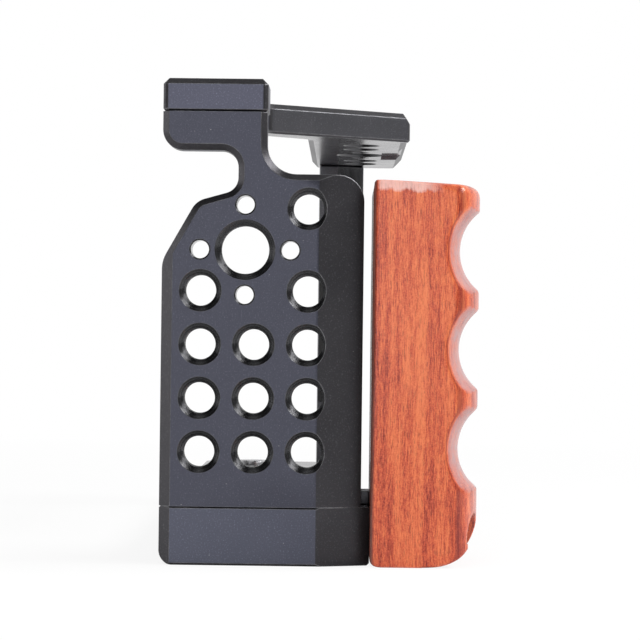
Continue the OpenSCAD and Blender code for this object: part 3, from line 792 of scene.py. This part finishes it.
# places in millimetres; those named fromRear are measured from the cage's rear
sideValues = {
    "x": 69.4,
    "columnsFromRear": (6.65, 15.7, 24.75),
    "rows": (19.1, 28.15, 37.2, 46.25),
    "topRow": 60.15,
    "bigFromRear": 14.1,
    "bigHeight": 53.15,
    "threadDepth": 5.2,
}


def dressSidePlate():
    values = sideValues
    x, rows = values["x"], values["rows"]
    rear, middle, front = [rearY + out for out in values["columnsFromRear"]]
    bigY, bigZ = rearY + values["bigFromRear"], values["bigHeight"]
    holes = [("quarter", (x, y, z)) for y in (rear, front) for z in rows]
    holes += [("quarter", (x, middle, z)) for z in rows[:3]]
    holes += [("quarter", (x, front, values["topRow"])), ("threeEighths", (x, bigY, bigZ))]
    for angle in range(0, 360, 90):
        turn = math.radians(angle)
        holes.append(("pin", (x, bigY + pinRing * math.cos(turn), bigZ + pinRing * math.sin(turn))))
    piece = copyOfNode("side_plate", "sidePlate")
    dressHoles(piece, holes, (1, 0, 0), values["threadDepth"], (plateMetal, holeMetal, shadedFacetMetal))
    markBevels(piece, shadedFacetMetal)
    finishMetal(piece)


topValues = {
    "wingMiddle": (-30.4, 6.9, 79.2),
    "wingRow": (16.8, 27.2),
    "barHoles": (55, 44.6),
    "barFromRear": 8.875,
    "threadDepth": 5.6,
    "wingFront": 16.2,
    "slopeBack": 1.4,
    "slopeDown": 2.1,
    "slopeX": -32,
    "cutSize": (40, 10, 10),
    "strutEnd": 50,
    "underside": 77.8,
    "pocketRear": 11,
}


def slopeWingFront(piece):
    # the wing's front edge slopes off more than its other edges
    values = topValues
    back, down = values["slopeBack"], values["slopeDown"]
    wide, deep, tall = values["cutSize"]
    middle = Vector((values["slopeX"], values["wingFront"] - back / 2, topZ - down / 2)) * mm
    cut = addBlock("edgeCut", (-wide, 0, -tall), (wide, deep, tall))
    cut.matrix_world = Matrix.Translation(middle) @ Matrix.Rotation(math.atan2(back, down), 4, "X")
    applyPlace(cut)
    combine(piece, cut)


def dressTopPlate():
    values = topValues
    wingX, wingY, middleZ = values["wingMiddle"]
    holes = [("threeEighths", (wingX, wingY, middleZ))]
    for side in (-1, 1):
        holes.append(("pin", (wingX + side * pinRing, wingY, middleZ)))
        holes += [("quarter", (wingX + side * out, wingY, middleZ)) for out in values["wingRow"]]
    holes += [("quarter", (x, rearY + values["barFromRear"], middleZ)) for x in values["barHoles"]]
    piece = copyOfNode("top_plate", "topPlate")
    slopeWingFront(piece)
    metals = (topMetal, holeMetal, smoothPaintedSheenMetal, shadedFacetMetal, blackMetal)
    dressHoles(piece, holes, (0, 0, 1), values["threadDepth"], metals)
    markBevels(piece, shadedFacetMetal)
    # the underside gets the paler smooth copy: painted reflection
    markFacet(piece, (0, 0, -1), smoothPaintedSheenMetal)
    underside = values["underside"] * mm
    for face in piece.data.polygons:
        place, normal = face.center, face.normal
        # the strut's and wing's sides that look to the right get the greyer copy of the anodising as painted
        # shade, then the walls of the wing's pocket
        if normal.x > 0.6 and place.x < values["strutEnd"] * mm and place.z > underside:
            face.material_index = slotOf(piece, blackMetal)
        # the pocket walls get the paler smooth copy: painted reflection
        if place.z < underside and place.y > values["pocketRear"] * mm and abs(normal.z) < 0.3:
            face.material_index = slotOf(piece, smoothPaintedSheenMetal)
    finishMetal(piece)


postValues = {
    "x": -70,
    "y": 2.85,
    "rows": (24.85, 42.85, 60.85),
}


def dressLeftPost():
    # its blind holes get turned walls and no cut thread
    values = postValues
    piece = copyOfNode("left_post", "leftPost")
    holes = [("quarter", (values["x"], values["y"], z)) for z in values["rows"]]
    dressHoles(piece, holes, (1, 0, 0), 0, (postMetal, holeMetal))
    finishMetal(piece)


baseValues = {
    "middle": (-30, -10, 4.9),
    "row": 14.5,
    "threadDepth": 9.85,
}


def dressBasePlate():
    values = baseValues
    x, y, z = values["middle"]
    holes = [("threeEighths", (x, y, z))]
    for side in (-1, 1):
        holes.append(("pin", (x + side * pinRing, y, z)))
        holes.append(("quarter", (x + side * values["row"], y, z)))
    piece = copyOfNode("base_plate", "basePlate")
    metals = (baseMetal, holeMetal, shadedFacetMetal, smoothPaintedSheenMetal)
    dressHoles(piece, holes, (0, 0, 1), values["threadDepth"], metals)
    markBevels(piece, shadedFacetMetal)
    # the base's top gets the paler smooth copy: painted reflection
    markFacet(piece, (0, 0, 1), smoothPaintedSheenMetal)
    finishMetal(piece)


dressSidePlate()
print("side plate dressed")
dressTopPlate()
print("top plate dressed")
dressLeftPost()
dressBasePlate()
print("post and base dressed")


# wooden grip

gripValues = {
    "low": (47.0, 8.55, 0.0),
    "high": (72.0, frontY, 65.3),
    "crown": 4.2,
    "crownSides": 128,
    "topSlope": 2.4,
    "cornerRound": 0.9,
    "heelRound": 1.4,
    "topRound": 1.7,
    "footRound": 9.5,
    "grooveRows": (53.5, 36.7, 19.9),
    "grooveRadius": 8.5,
    "grooveDepth": 3.5,
    "grooveFlare": 2.5,
    "grooveSides": 72,
    "grooveSteps": 20,
    "grooveOver": 0.6,
    "flareFrom": 0.3,
    "boreRadius": 3.7,
    "boreFloor": 17.55,
    "boreLength": 20,
    "boltRadius": 2.2,
    "boltHoleLength": 30,
    "boltHeight": 5.1,
    "boltPlaces": (53.0, 66.0),
    "roundSteps": 6,
    "footSteps": 20,
    "footProfile": 0.56,
    "voxel": 0.3,
    "easeSteps": 6,
    "sheenZoneReach": 0.1,
}


def makeGrip():
    values = gripValues
    (x0, y0, z0), (x1, y1, z1) = values["low"], values["high"]
    crownY = y1 - values["crown"]
    middleX, half = (x0 + x1) / 2, (x1 - x0) / 2
    steps = values["roundSteps"]
    grip = addBlock("woodGrip", (x0, y0, z0), (x1, crownY, z1))

    # rounded heel, then a crowned front
    selectWhere(grip, "EDGE", lambda a, b: max(a.y, b.y) < (y0 + 0.1) * mm and max(a.z, b.z) < 0.1 * mm)
    bpy.ops.mesh.bevel(offset=values["heelRound"] * mm, segments=steps, affect="EDGES")
    leaveEdit()
    crown = addRod("crown", (middleX, crownY, z0), (0, 0, 1), z1 - z0, half, values["crownSides"])
    edit(crown)
    bpy.ops.mesh.select_all(action="SELECT")
    bpy.ops.transform.translate(value=(0, -crownY * mm, 0))
    bpy.ops.transform.resize(value=(1, values["crown"] / half, 1), center_override=(0, 0, 0))
    bpy.ops.transform.translate(value=(0, crownY * mm, 0))
    leaveEdit()
    combine(grip, crown, "UNION")
    outwards(grip)

    # rounded rear corners
    def rearCorner(a, b):
        atRear = max(abs(a.y - y0 * mm), abs(b.y - y0 * mm)) < tiny
        upright = abs(a.x - b.x) < tiny and abs(a.z - b.z) > 10 * mm
        return atRear and upright and min(abs(a.x - x0 * mm), abs(a.x - x1 * mm)) < tiny
    selectWhere(grip, "EDGE", rearCorner)
    bpy.ops.mesh.bevel(offset=values["cornerRound"] * mm, segments=steps, affect="EDGES")
    leaveEdit()

    # sloping top with a rounded rim
    slope = math.radians(values["topSlope"])
    topPoint = Vector((middleX, y0, z1)) * mm
    topNormal = Vector((0, math.sin(slope), math.cos(slope)))
    edit(grip)
    bpy.ops.mesh.select_all(action="SELECT")
    bpy.ops.mesh.bisect(plane_co=topPoint, plane_no=topNormal, use_fill=True, clear_outer=True)
    leaveEdit()
    selectWhere(grip, "EDGE", lambda a, b: abs((a - topPoint).dot(topNormal)) < 2 * tiny and
                abs((b - topPoint).dot(topNormal)) < 2 * tiny)
    bpy.ops.mesh.bevel(offset=values["topRound"] * mm, segments=steps, affect="EDGES")
    leaveEdit()

    # rounded foot at the front
    keepShape = addBlock("footShape", (x0 - 5, y0 - 5, z0), (x1 + 5, y1, z1 + 5))
    selectWhere(keepShape, "EDGE", lambda a, b: max(a.z, b.z) < tiny and min(a.y, b.y) > y1 * mm - tiny)
    bpy.ops.mesh.bevel(offset=values["footRound"] * mm, segments=values["footSteps"],
                       profile=values["footProfile"], affect="EDGES")
    leaveEdit()
    combine(grip, keepShape, "INTERSECT")

    # finger grooves
    def radiusAt(share):
        flare = max(0, (share - values["flareFrom"]) / (1 - values["flareFrom"]))
        return values["grooveRadius"] + values["grooveFlare"] * flare ** 2
    grooveY = y1 + values["grooveRadius"] - values["grooveDepth"]
    reach, count = half + values["grooveOver"], values["grooveSteps"]
    profile = [(radiusAt(abs(k) / count), k / count * reach) for k in range(-count, count + 1)]
    profile = [(0, -reach)] + profile + [(0, reach)]
    for height in values["grooveRows"]:
        spool = turned("spool", profile, values["grooveSides"])
        combine(grip, placeAlong(spool, (middleX, grooveY, height), (1, 0, 0)))

    # counterbores and through holes for the two bolts
    z = values["boltHeight"]
    for x in values["boltPlaces"]:
        for name, start, length, radius in (
                ("bore", values["boreFloor"], values["boreLength"], values["boreRadius"]),
                ("boltHole", y0 - 5, values["boltHoleLength"], values["boltRadius"])):
            combine(grip, addRod(name, (x, start, z), (0, 1, 0), length, radius))

    # an even mesh, eased at its edges
    applyModifier(grip, "REMESH", mode="VOXEL", voxel_size=values["voxel"] * mm, use_smooth_shade=True)
    applyModifier(grip, "SMOOTH", factor=0.5, iterations=values["easeSteps"])
    print("grip faces:", len(grip.data.polygons))

    # the finger grooves, which get the painted sheen
    held = grip.data.attributes.new("held", "FLOAT", "POINT")
    for vertex in grip.data.vertices:
        x, y, z = vertex.co / mm
        reach = radiusAt(min(1, abs(x - middleX) / half)) + values["sheenZoneReach"]
        away = min(math.hypot(y - grooveY, z - height) for height in values["grooveRows"])
        held.data[vertex.index].value = 1.0 if away < reach else 0.0
    grip.data.materials.clear()
    grip.data.materials.append(gripWood)
    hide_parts("wood_grip")
    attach(grip, "cage")


makeGrip()
print("grip made")


# screws, pins, ring, stop block and pads; their places come from the CAD nodes' own boxes

def nodeBox(nodeName):
    # lowest and highest corner of a CAD node, in millimetres
    low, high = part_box(nodeName)
    return Vector(low) / mm, Vector(high) / mm


def middleOf(low, high):
    return (low.x + high.x) / 2, (low.y + high.y) / 2, (low.z + high.z) / 2


fittingAngle = 30  # the small pieces shade smoothly up to this angle, in degrees


def finishPiece(piece, nodeName, material, body="cage"):
    piece.data.materials.clear()
    piece.data.materials.append(material)
    smooth(piece, fittingAngle)
    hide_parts(nodeName)
    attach(piece, body)


def cutKey(piece, radius, depth, leadRadius, leadDepth, mouth):
    # a hexagon socket with a turned lead-in at the top of a piece that stands upright at the origin
    combine(piece, addRod("key", (0, 0, -depth), (0, 0, 1), 3, radius, 6))
    combine(piece, addRod("lead", (0, 0, -leadDepth), (0, 0, 1), mouth[0], leadRadius, 32, mouth[1]))


# radii, heights and pitches in millimetres; the rim's pairs say how far in and down each point is
screwValues = {
    "m2": {"radius": 1.0, "head": 1.9, "headHeight": 1.1, "pitch": 0.4},
    "m3": {"radius": 1.5, "head": 2.8, "headHeight": 1.65, "pitch": 0.5},
    "m4": {"radius": 2.0, "head": 3.7, "headHeight": 2.1, "pitch": 0.7},
    "tip": 0.3,
    "rim": ((0.12, 0.14), (0.02, 0.1), (0.02, 0.04), (0.1, 0)),
    "bareShaft": 0.6,
    "pastTip": 0.5,
    "keyShare": 0.42,
    "keyDepth": 1.1,
    "leadDepth": 0.2,
    "leadShare": 0.86,
    "mouthShare": 1.15,
}


def flatScrew(kind, length, headPlace, direction):
    # a countersunk screw with a hexagon socket; the direction is the one that its head faces
    values = screwValues[kind]
    radius, head, headHeight = values["radius"], values["head"], values["headHeight"]
    tip = screwValues["tip"]
    shaft = [(0, -length), (radius - tip, -length), (radius, -length + tip), (radius, -headHeight)]
    rim = [(head - inward, -down) for inward, down in screwValues["rim"]]
    screw = turned("screw", shaft + rim + [(0, 0)], 48)
    key = head * screwValues["keyShare"]
    lead, mouth = key * screwValues["leadShare"], (0.3, key * screwValues["mouthShare"])
    cutKey(screw, key, screwValues["keyDepth"], lead, screwValues["leadDepth"], mouth)
    threaded = length - headHeight - screwValues["bareShaft"]
    middle = (0, 0, -length + threaded / 2 - screwValues["pastTip"])
    combine(screw, threadCutter(middle, (0, 0, 1), radius, values["pitch"], threaded, True))
    return placeAlong(screw, headPlace, direction)


def makeFlatScrews():
    # the screws' heads touch both ends of their node's box
    for nodeName, kind, up, pair in (
            ("top_screws_right", "m3", 1, True), ("base_screws_right", "m3", -1, True),
            ("top_screw_left", "m4", 1, False), ("base_screw_left", "m4", -1, False),
            ("stop_screw", "m2", 1, False)):
        low, high = nodeBox(nodeName)
        head = screwValues[kind]["head"]
        place = Vector(((low.x + high.x) / 2, low.y + head, high.z if up > 0 else low.z))
        screw = flatScrew(kind, high.z - low.z, place, (0, 0, up))
        if pair:
            other = copyOf(screw, "secondScrew", (0, high.y - low.y - 2 * head, 0))
            screw = join("screws", [screw, other])
        first, *rest = nodeName.split("_")
        screw.name = first + "".join(word.capitalize() for word in rest)
        finishPiece(screw, nodeName, blackSteel)


def knurl(piece, radius, low, high, share):
    # presses every other line of a round side inwards; the side has a line every 5 degrees
    def onLine(co):
        line = round(math.degrees(math.atan2(co.y, co.x)) / 5)
        onSide = abs(math.hypot(co.x, co.y) - radius * mm) < 0.02 * mm
        return onSide and low <= co.z / mm <= high and line % 2 == 0
    selectWhere(piece, "VERT", onLine)
    bpy.ops.transform.resize(value=(share, share, 1), center_override=(0, 0, 0))
    leaveEdit()


# profiles are (radius, height) pairs in millimetres, from the axis outwards and back
boltValues = {
    "head": 3.4,
    "headProfile": ((2.0, -4.0), (3.2, -4.0), (3.4, -3.8), (3.4, -0.45), (3.25, -0.15), (2.9, 0), (0, 0)),
    "knurlRange": (-4, -0.4),
    "knurlShare": 0.975,
    "shaft": 2.0,
    "tip": 1.6,
    "tipHeight": 0.4,
    "keyRadius": 1.73,
    "keyDepth": 2,
    "leadRadius": 1.5,
    "leadDepth": 0.25,
    "mouth": (0.4, 2.1),
    "pitch": 0.7,
    "threadLength": 9,
}


def makeGripBolts():
    values = boltValues
    low, high = nodeBox("grip_bolts")
    x, y, z = middleOf(low, high)
    length = high.y - low.y
    head, shaft, tip = values["head"], values["shaft"], values["tip"]
    profile = [(0, -length), (tip, -length), (shaft, -length + values["tipHeight"])]
    bolt = turned("gripBolts", profile + list(values["headProfile"]), 72)
    knurl(bolt, head, *values["knurlRange"], values["knurlShare"])
    cutKey(bolt, values["keyRadius"], values["keyDepth"], values["leadRadius"], values["leadDepth"],
           values["mouth"])
    threadMiddle = (0, 0, -length + values["threadLength"] / 2)
    thread = threadCutter(threadMiddle, (0, 0, 1), shaft, values["pitch"], values["threadLength"], True)
    combine(bolt, thread)
    placeAlong(bolt, (low.x + head, high.y, z), (0, 1, 0))
    other = copyOf(bolt, "secondBolt", (high.x - low.x - 2 * head, 0, 0))
    finishPiece(join("gripBolts", [bolt, other]), "grip_bolts", blackSteel)


washerValues = {
    "edge": 0.12,
    "gripInner": 2.15,
    "gripOuter": 3.5,
    "screwInner": 2.45,
    "screwOuter": 4.5,
}


def makeWasher(name, inner, outer, thickness):
    edge = washerValues["edge"]
    return turned(name, [
        (inner, edge), (inner + edge, 0), (outer - edge, 0), (outer, edge), (outer, thickness - edge),
        (outer - edge, thickness), (inner + edge, thickness), (inner, thickness - edge), (inner, edge)], 64)


def makeGripWashers():
    low, high = nodeBox("grip_washers")
    x, y, z = middleOf(low, high)
    outer = washerValues["gripOuter"]
    washer = makeWasher("gripWashers", washerValues["gripInner"], outer, high.y - low.y)
    placeAlong(washer, (low.x + outer, low.y, z), (0, 1, 0))
    other = copyOf(washer, "secondWasher", (high.x - low.x - 2 * outer, 0, 0))
    finishPiece(join("gripWashers", [washer, other]), "grip_washers", brightSteel)


dowelValues = {
    "radius": 1,
    "end": 0.8,
    "lead": 0.25,
    "postLength": 6,
}


def dowel(name, x, y, low, high):
    radius, end, lead = dowelValues["radius"], dowelValues["end"], dowelValues["lead"]
    length = high - low
    profile = [(0, 0), (end, 0), (radius, lead), (radius, length - lead), (end, length), (0, length)]
    return placeAlong(turned(name, profile, 40), (x, y, low), (0, 0, 1))


def makeDowels():
    low, high = nodeBox("side_dowel")
    x, y, z = middleOf(low, high)
    single = dowel("sideDowel", x, y, low.z, high.z)
    finishPiece(single, "side_dowel", brightSteel)
    low, high = nodeBox("post_dowels")
    x, y, z = middleOf(low, high)
    lower = dowel("postDowels", x, y, low.z, low.z + dowelValues["postLength"])
    upper = dowel("upperDowel", x, y, high.z - dowelValues["postLength"], high.z)
    finishPiece(join("postDowels", [lower, upper]), "post_dowels", brightSteel)


cameraScrewValues = {
    "headProfile": ((0, 0), (4.7, 0), (5.2, 0.45), (5.2, 2.95), (4.8, 3.4)),
    "neckProfile": ((2.35, 3.4), (2.35, 8.95), (2.85, 8.95), (3.15, 9.3)),
    "head": 5.2,
    "shaft": 3.15,
    "tip": 2.55,
    "tipHeight": 0.6,
    "knurlRange": (0.4, 3.0),
    "knurlShare": 0.965,
    "slotHalf": (6, 0.6),
    "slotDepth": 0.8,
    "pinIn": 3.6,
    "pinHeight": 1.7,
    "pinHole": 0.75,
    "pitch": 1.27,
    "threadLength": 3.8,
}


def makeCameraScrew():
    # knurled head with a coin slot, thin neck and a quarter-inch thread
    values = cameraScrewValues
    low, high = nodeBox("camera_screw")
    x, y, z = middleOf(low, high)
    height = high.z - low.z
    shaft = values["shaft"]
    profile = list(values["headProfile"] + values["neckProfile"])
    profile += [(shaft, height - values["tipHeight"]), (values["tip"], height), (0, height)]
    screw = turned("cameraScrew", profile, 72)
    knurl(screw, values["head"], *values["knurlRange"], values["knurlShare"])
    long, wide = values["slotHalf"]
    combine(screw, addBlock("coinSlot", (-long, -wide, -1), (long, wide, values["slotDepth"])))
    for side in (-1, 1):
        start = (side * values["pinIn"], 0, values["pinHeight"])
        combine(screw, addRod("pinHole", start, (side, 0, 0), 3, values["pinHole"], 32))
    threadMiddle = (0, 0, height - values["threadLength"] / 2)
    thread = threadCutter(threadMiddle, (0, 0, 1), shaft, values["pitch"], values["threadLength"], True)
    combine(screw, thread)
    placeAlong(screw, (x, y, low.z), (0, 0, 1))
    finishPiece(screw, "camera_screw", brightSteel, "screw")


def makeScrewWasher():
    cameraLow, cameraHigh = nodeBox("camera_screw")
    x, y, z = middleOf(cameraLow, cameraHigh)
    low, high = nodeBox("screw_washer")
    inner, outer = washerValues["screwInner"], washerValues["screwOuter"]
    washer = makeWasher("screwWasher", inner, outer, high.z - low.z)
    placeAlong(washer, (x, y, low.z), (0, 0, 1))
    finishPiece(washer, "screw_washer", padRubber, "screw_carrier")


ringValues = {
    "hoop": 6.5,
    "wire": 0.8,
    "wireSides": 24,
    "hoopSteps": 40,
    "knuckle": 1.05,
    "knuckleSides": 32,
    "knuckleRings": 20,
    "pin": 0.7,
    "pinStart": 3.8,
}


def makeRing():
    # a half hoop of wire with a round knuckle and a pin at each end
    values = ringValues
    low, high = nodeBox("d_ring")
    x, y, z = middleOf(low, high)
    hoop, wire = values["hoop"], values["wire"]
    bpy.ops.mesh.primitive_circle_add(vertices=values["wireSides"], radius=wire * mm,
                                      location=(hoop * mm, 0, 0), rotation=(math.pi / 2, 0, 0))
    ring = bpy.context.object
    ring.name = "foldingRing"
    applyPlace(ring)
    edit(ring)
    bpy.ops.mesh.select_all(action="SELECT")
    bpy.ops.mesh.spin(steps=values["hoopSteps"], angle=math.pi, center=(0, 0, 0), axis=(0, 0, 1))
    bpy.ops.mesh.select_all(action="DESELECT")
    bpy.ops.mesh.select_non_manifold()
    bpy.ops.mesh.fill_holes(sides=values["wireSides"])
    leaveEdit()
    outwards(ring)
    for side in (-1, 1):
        bpy.ops.mesh.primitive_uv_sphere_add(
            segments=values["knuckleSides"], ring_count=values["knuckleRings"],
            radius=values["knuckle"] * mm, location=(side * hoop * mm, 0, 0))
        ball = bpy.context.object
        applyPlace(ball)
        combine(ring, ball, "UNION")
        start, length = (side * values["pinStart"], 0, 0), hoop - values["pinStart"]
        combine(ring, addRod("pin", start, (side, 0, 0), length, values["pin"], 32), "UNION")
    placeAlong(ring, (x, high.y - hoop - wire, z), (0, 0, 1))
    finishPiece(ring, "d_ring", brightSteel, "ring")


def softenEdges(piece, width):
    edit(piece)
    bpy.ops.mesh.select_all(action="SELECT")
    bpy.ops.mesh.bevel(offset=width * mm, segments=3, affect="EDGES")
    leaveEdit()


stopValues = {
    "soft": 0.22,
    "hole": 1.05,
    "holeLength": 6,
    "holeSides": 40,
    "sink": 2.1,
    "sinkDepth": 1.25,
    "sinkLength": 1.3,
    "sinkSides": 48,
}


def makeStopBlock():
    values = stopValues
    low, high = nodeBox("stop_block")
    x, y, z = middleOf(low, high)
    block = addBlock("stopBlock", low, high)
    softenEdges(block, values["soft"])
    hole = values["hole"]
    holeStart, sinkStart = (x, y, low.z - 1), (x, y, high.z - values["sinkDepth"])
    combine(block, addRod("hole", holeStart, (0, 0, 1), values["holeLength"], hole, values["holeSides"]))
    combine(block, addRod("sink", sinkStart, (0, 0, 1), values["sinkLength"], hole, values["sinkSides"],
                          values["sink"]))
    finishPiece(block, "stop_block", blackMetal)


padValues = {
    "soft": 0.22,
    "grooveRadius": 0.3,
    "grooveLift": 0.12,
    "grooveSides": 16,
    "spacing": 1.5,
    "longPad": (50, 6),
    "sidePad": (8, 2, 28),
    "fill": 1.0,
}


def makePad(name, low, high, face, along):
    # a rubber strip with soft edges and shallow round grooves; face is the side that has them
    values = padValues
    low, high, face, along = Vector(low), Vector(high), Vector(face), Vector(along)
    pad = addBlock(name, low, high)
    softenEdges(pad, values["soft"])
    across = face.cross(along)
    middle, half = (low + high) / 2, (high - low) / 2
    width = abs(across.dot(half))
    count = int((2 * width - 1) // values["spacing"])
    surface = middle + face * (abs(face.dot(half)) + values["grooveLift"])
    reach = abs(along.dot(half)) + 1
    radius, sides = values["grooveRadius"], values["grooveSides"]
    for k in range(count):
        off = (k - (count - 1) / 2) * values["spacing"]
        start = surface + across * off - along * reach
        combine(pad, addRod("groove", start, along, 2 * reach, radius, sides))
    return pad


def finishPad(piece, nodeName):
    finishPiece(piece, nodeName, padRubber)


def makePads():
    up, right, forward = (0, 0, 1), (1, 0, 0), (0, 1, 0)
    low, high = nodeBox("base_pads")
    long, deep = padValues["longPad"]
    wide, rearEnd, frontEnd = padValues["sidePad"]
    rear = makePad("basePads", low, (low.x + long, low.y + deep, high.z), up, right)
    front = makePad("frontPad", (low.x, high.y - deep, low.z), (low.x + long, high.y, high.z), up, right)
    side = makePad("sidePad", (high.x - wide, low.y + rearEnd, low.z),
                   (high.x, low.y + frontEnd, high.z), up, forward)
    finishPad(join("basePads", [rear, front, side]), "base_pads")
    low, high = nodeBox("roof_pad")
    finishPad(makePad("roofPad", low, high, (0, 0, -1), right), "roof_pad")
    low, high = nodeBox("post_pad")
    finishPad(makePad("postPad", low, high, right, up), "post_pad")


makeFlatScrews()
makeGripBolts()
makeGripWashers()
makeDowels()
makeCameraScrew()
makeScrewWasher()
makeRing()
makeStopBlock()
makePads()
print("screws, pins and pads made")


# studio

# each lamp has its place and size in metres and its power in watts
studioValues = {
    "ambient": 0.5,
    "darkSide": 0.1,
    "behindRange": (-0.15, -0.6),
    "rightSide": 0.45,
    "rightRange": (0.8, 0.9),
    "aim": (0.05, 0.0, 0.04),
    "lamps": {
        "frontLamp": ((0.95, -0.14, 0.22), 0.45, 1.44),
        "leftLamp": ((0.05, -0.80, 0.12), 0.5, 1.5),
        "cornerLamp": ((0.05, 0.50, 0.52), 0.3, 3.3),
        "rightLamp": ((0.26, 0.30, 0.26), 0.15, 0.35),
        "highLamp": ((0.50, -0.08, 0.60), 0.2, 0.6),
        "topLamp": ((0.15, -0.1, 0.8), 0.4, 0.3),
    },
    "floorColour": (0.9, 0.9, 0.9, 1),
    "floorSize": 8,
    "floorPlace": (-2.0, 0, 0),
    "floorFade": (0.1, 0.4, 0.86, 1.0),
    "floorBehind": (-0.05, -0.25),
}
white = (1, 1, 1, 1)


def addLamp(name, place, size, power):
    place = Vector(place)
    bpy.ops.object.light_add(type="AREA", location=place)
    lamp = bpy.context.object
    lamp.name = name
    lamp.rotation_euler = (Vector(studioValues["aim"]) - place).to_track_quat("-Z", "Y").to_euler()
    lamp.data.shape = "SQUARE"
    lamp.data.size = size
    lamp.data.energy = power
    lamp.data.color = white[:3]


def addFloor():
    # pale floor that keeps the object's shadow; farther off it is plain white
    bpy.ops.mesh.primitive_plane_add(size=studioValues["floorSize"], location=studioValues["floorPlace"])
    floor = bpy.context.object
    floor.name = "studioFloor"
    applyPlace(floor)
    material = bpy.data.materials.new("whiteFloor")
    material.use_nodes = True
    tree = material.node_tree
    tree.nodes.clear()
    place = addNode(tree, "ShaderNodeTexCoord").outputs["Object"]
    away = addNode(tree, "ShaderNodeVectorMath", {0: place}, operation="LENGTH").outputs["Value"]
    parts = addNode(tree, "ShaderNodeSeparateXYZ", {0: place})
    behind = between(tree, parts.outputs["X"], *studioValues["floorBehind"])
    matte = addNode(tree, "ShaderNodeBsdfDiffuse", {"Color": studioValues["floorColour"]})
    glow = addNode(tree, "ShaderNodeEmission", {"Color": white, "Strength": 1.0})
    path = addNode(tree, "ShaderNodeLightPath")
    direct = product(tree, path.outputs["Is Camera Ray"], between(tree, away, *studioValues["floorFade"]))
    mirrored = product(tree, path.outputs["Is Glossy Ray"], behind)
    mix = addNode(tree, "ShaderNodeMixShader", {0: maths(tree, "MAXIMUM", direct, mirrored)})
    tree.links.new(matte.outputs[0], mix.inputs[1])
    tree.links.new(glow.outputs[0], mix.inputs[2])
    addNode(tree, "ShaderNodeOutputMaterial", {0: mix.outputs[0]})
    floor.data.materials.append(material)


def setWorld():
    # white to the eye; metal sees it white behind the object, grey at its right and dim elsewhere
    world = bpy.data.worlds.new("studioWorld")
    bpy.context.scene.world = world
    world.use_nodes = True
    tree = world.node_tree
    tree.nodes.clear()
    direction = addNode(tree, "ShaderNodeTexCoord").outputs["Generated"]
    parts = addNode(tree, "ShaderNodeSeparateXYZ", {0: direction})
    values = studioValues
    behind = between(tree, parts.outputs["X"], *values["behindRange"], values["darkSide"], 1.0)
    right = between(tree, parts.outputs["Y"], *values["rightRange"], 0.0, values["rightSide"])
    path = addNode(tree, "ShaderNodeLightPath")
    direct = maths(tree, "MAXIMUM", path.outputs["Is Camera Ray"], path.outputs["Is Transmission Ray"])
    fill = addNode(tree, "ShaderNodeBackground", {"Color": white, "Strength": values["ambient"]})
    seen = addNode(tree, "ShaderNodeBackground", {"Color": white, "Strength": 1.0})
    mirrored = maths(tree, "MAXIMUM", behind, right)
    glossy = addNode(tree, "ShaderNodeBackground", {"Color": white, "Strength": mirrored})
    first = addNode(tree, "ShaderNodeMixShader", {0: path.outputs["Is Glossy Ray"]})
    tree.links.new(fill.outputs[0], first.inputs[1])
    tree.links.new(glossy.outputs[0], first.inputs[2])
    last = addNode(tree, "ShaderNodeMixShader", {0: direct})
    tree.links.new(first.outputs[0], last.inputs[1])
    tree.links.new(seen.outputs[0], last.inputs[2])
    addNode(tree, "ShaderNodeOutputWorld", {0: last.outputs[0]})


addFloor()
setWorld()
for name, (place, size, power) in studioValues["lamps"].items():
    addLamp(name, place, size, power)
bpy.context.scene.view_settings.view_transform = "Standard"
print("studio ready")
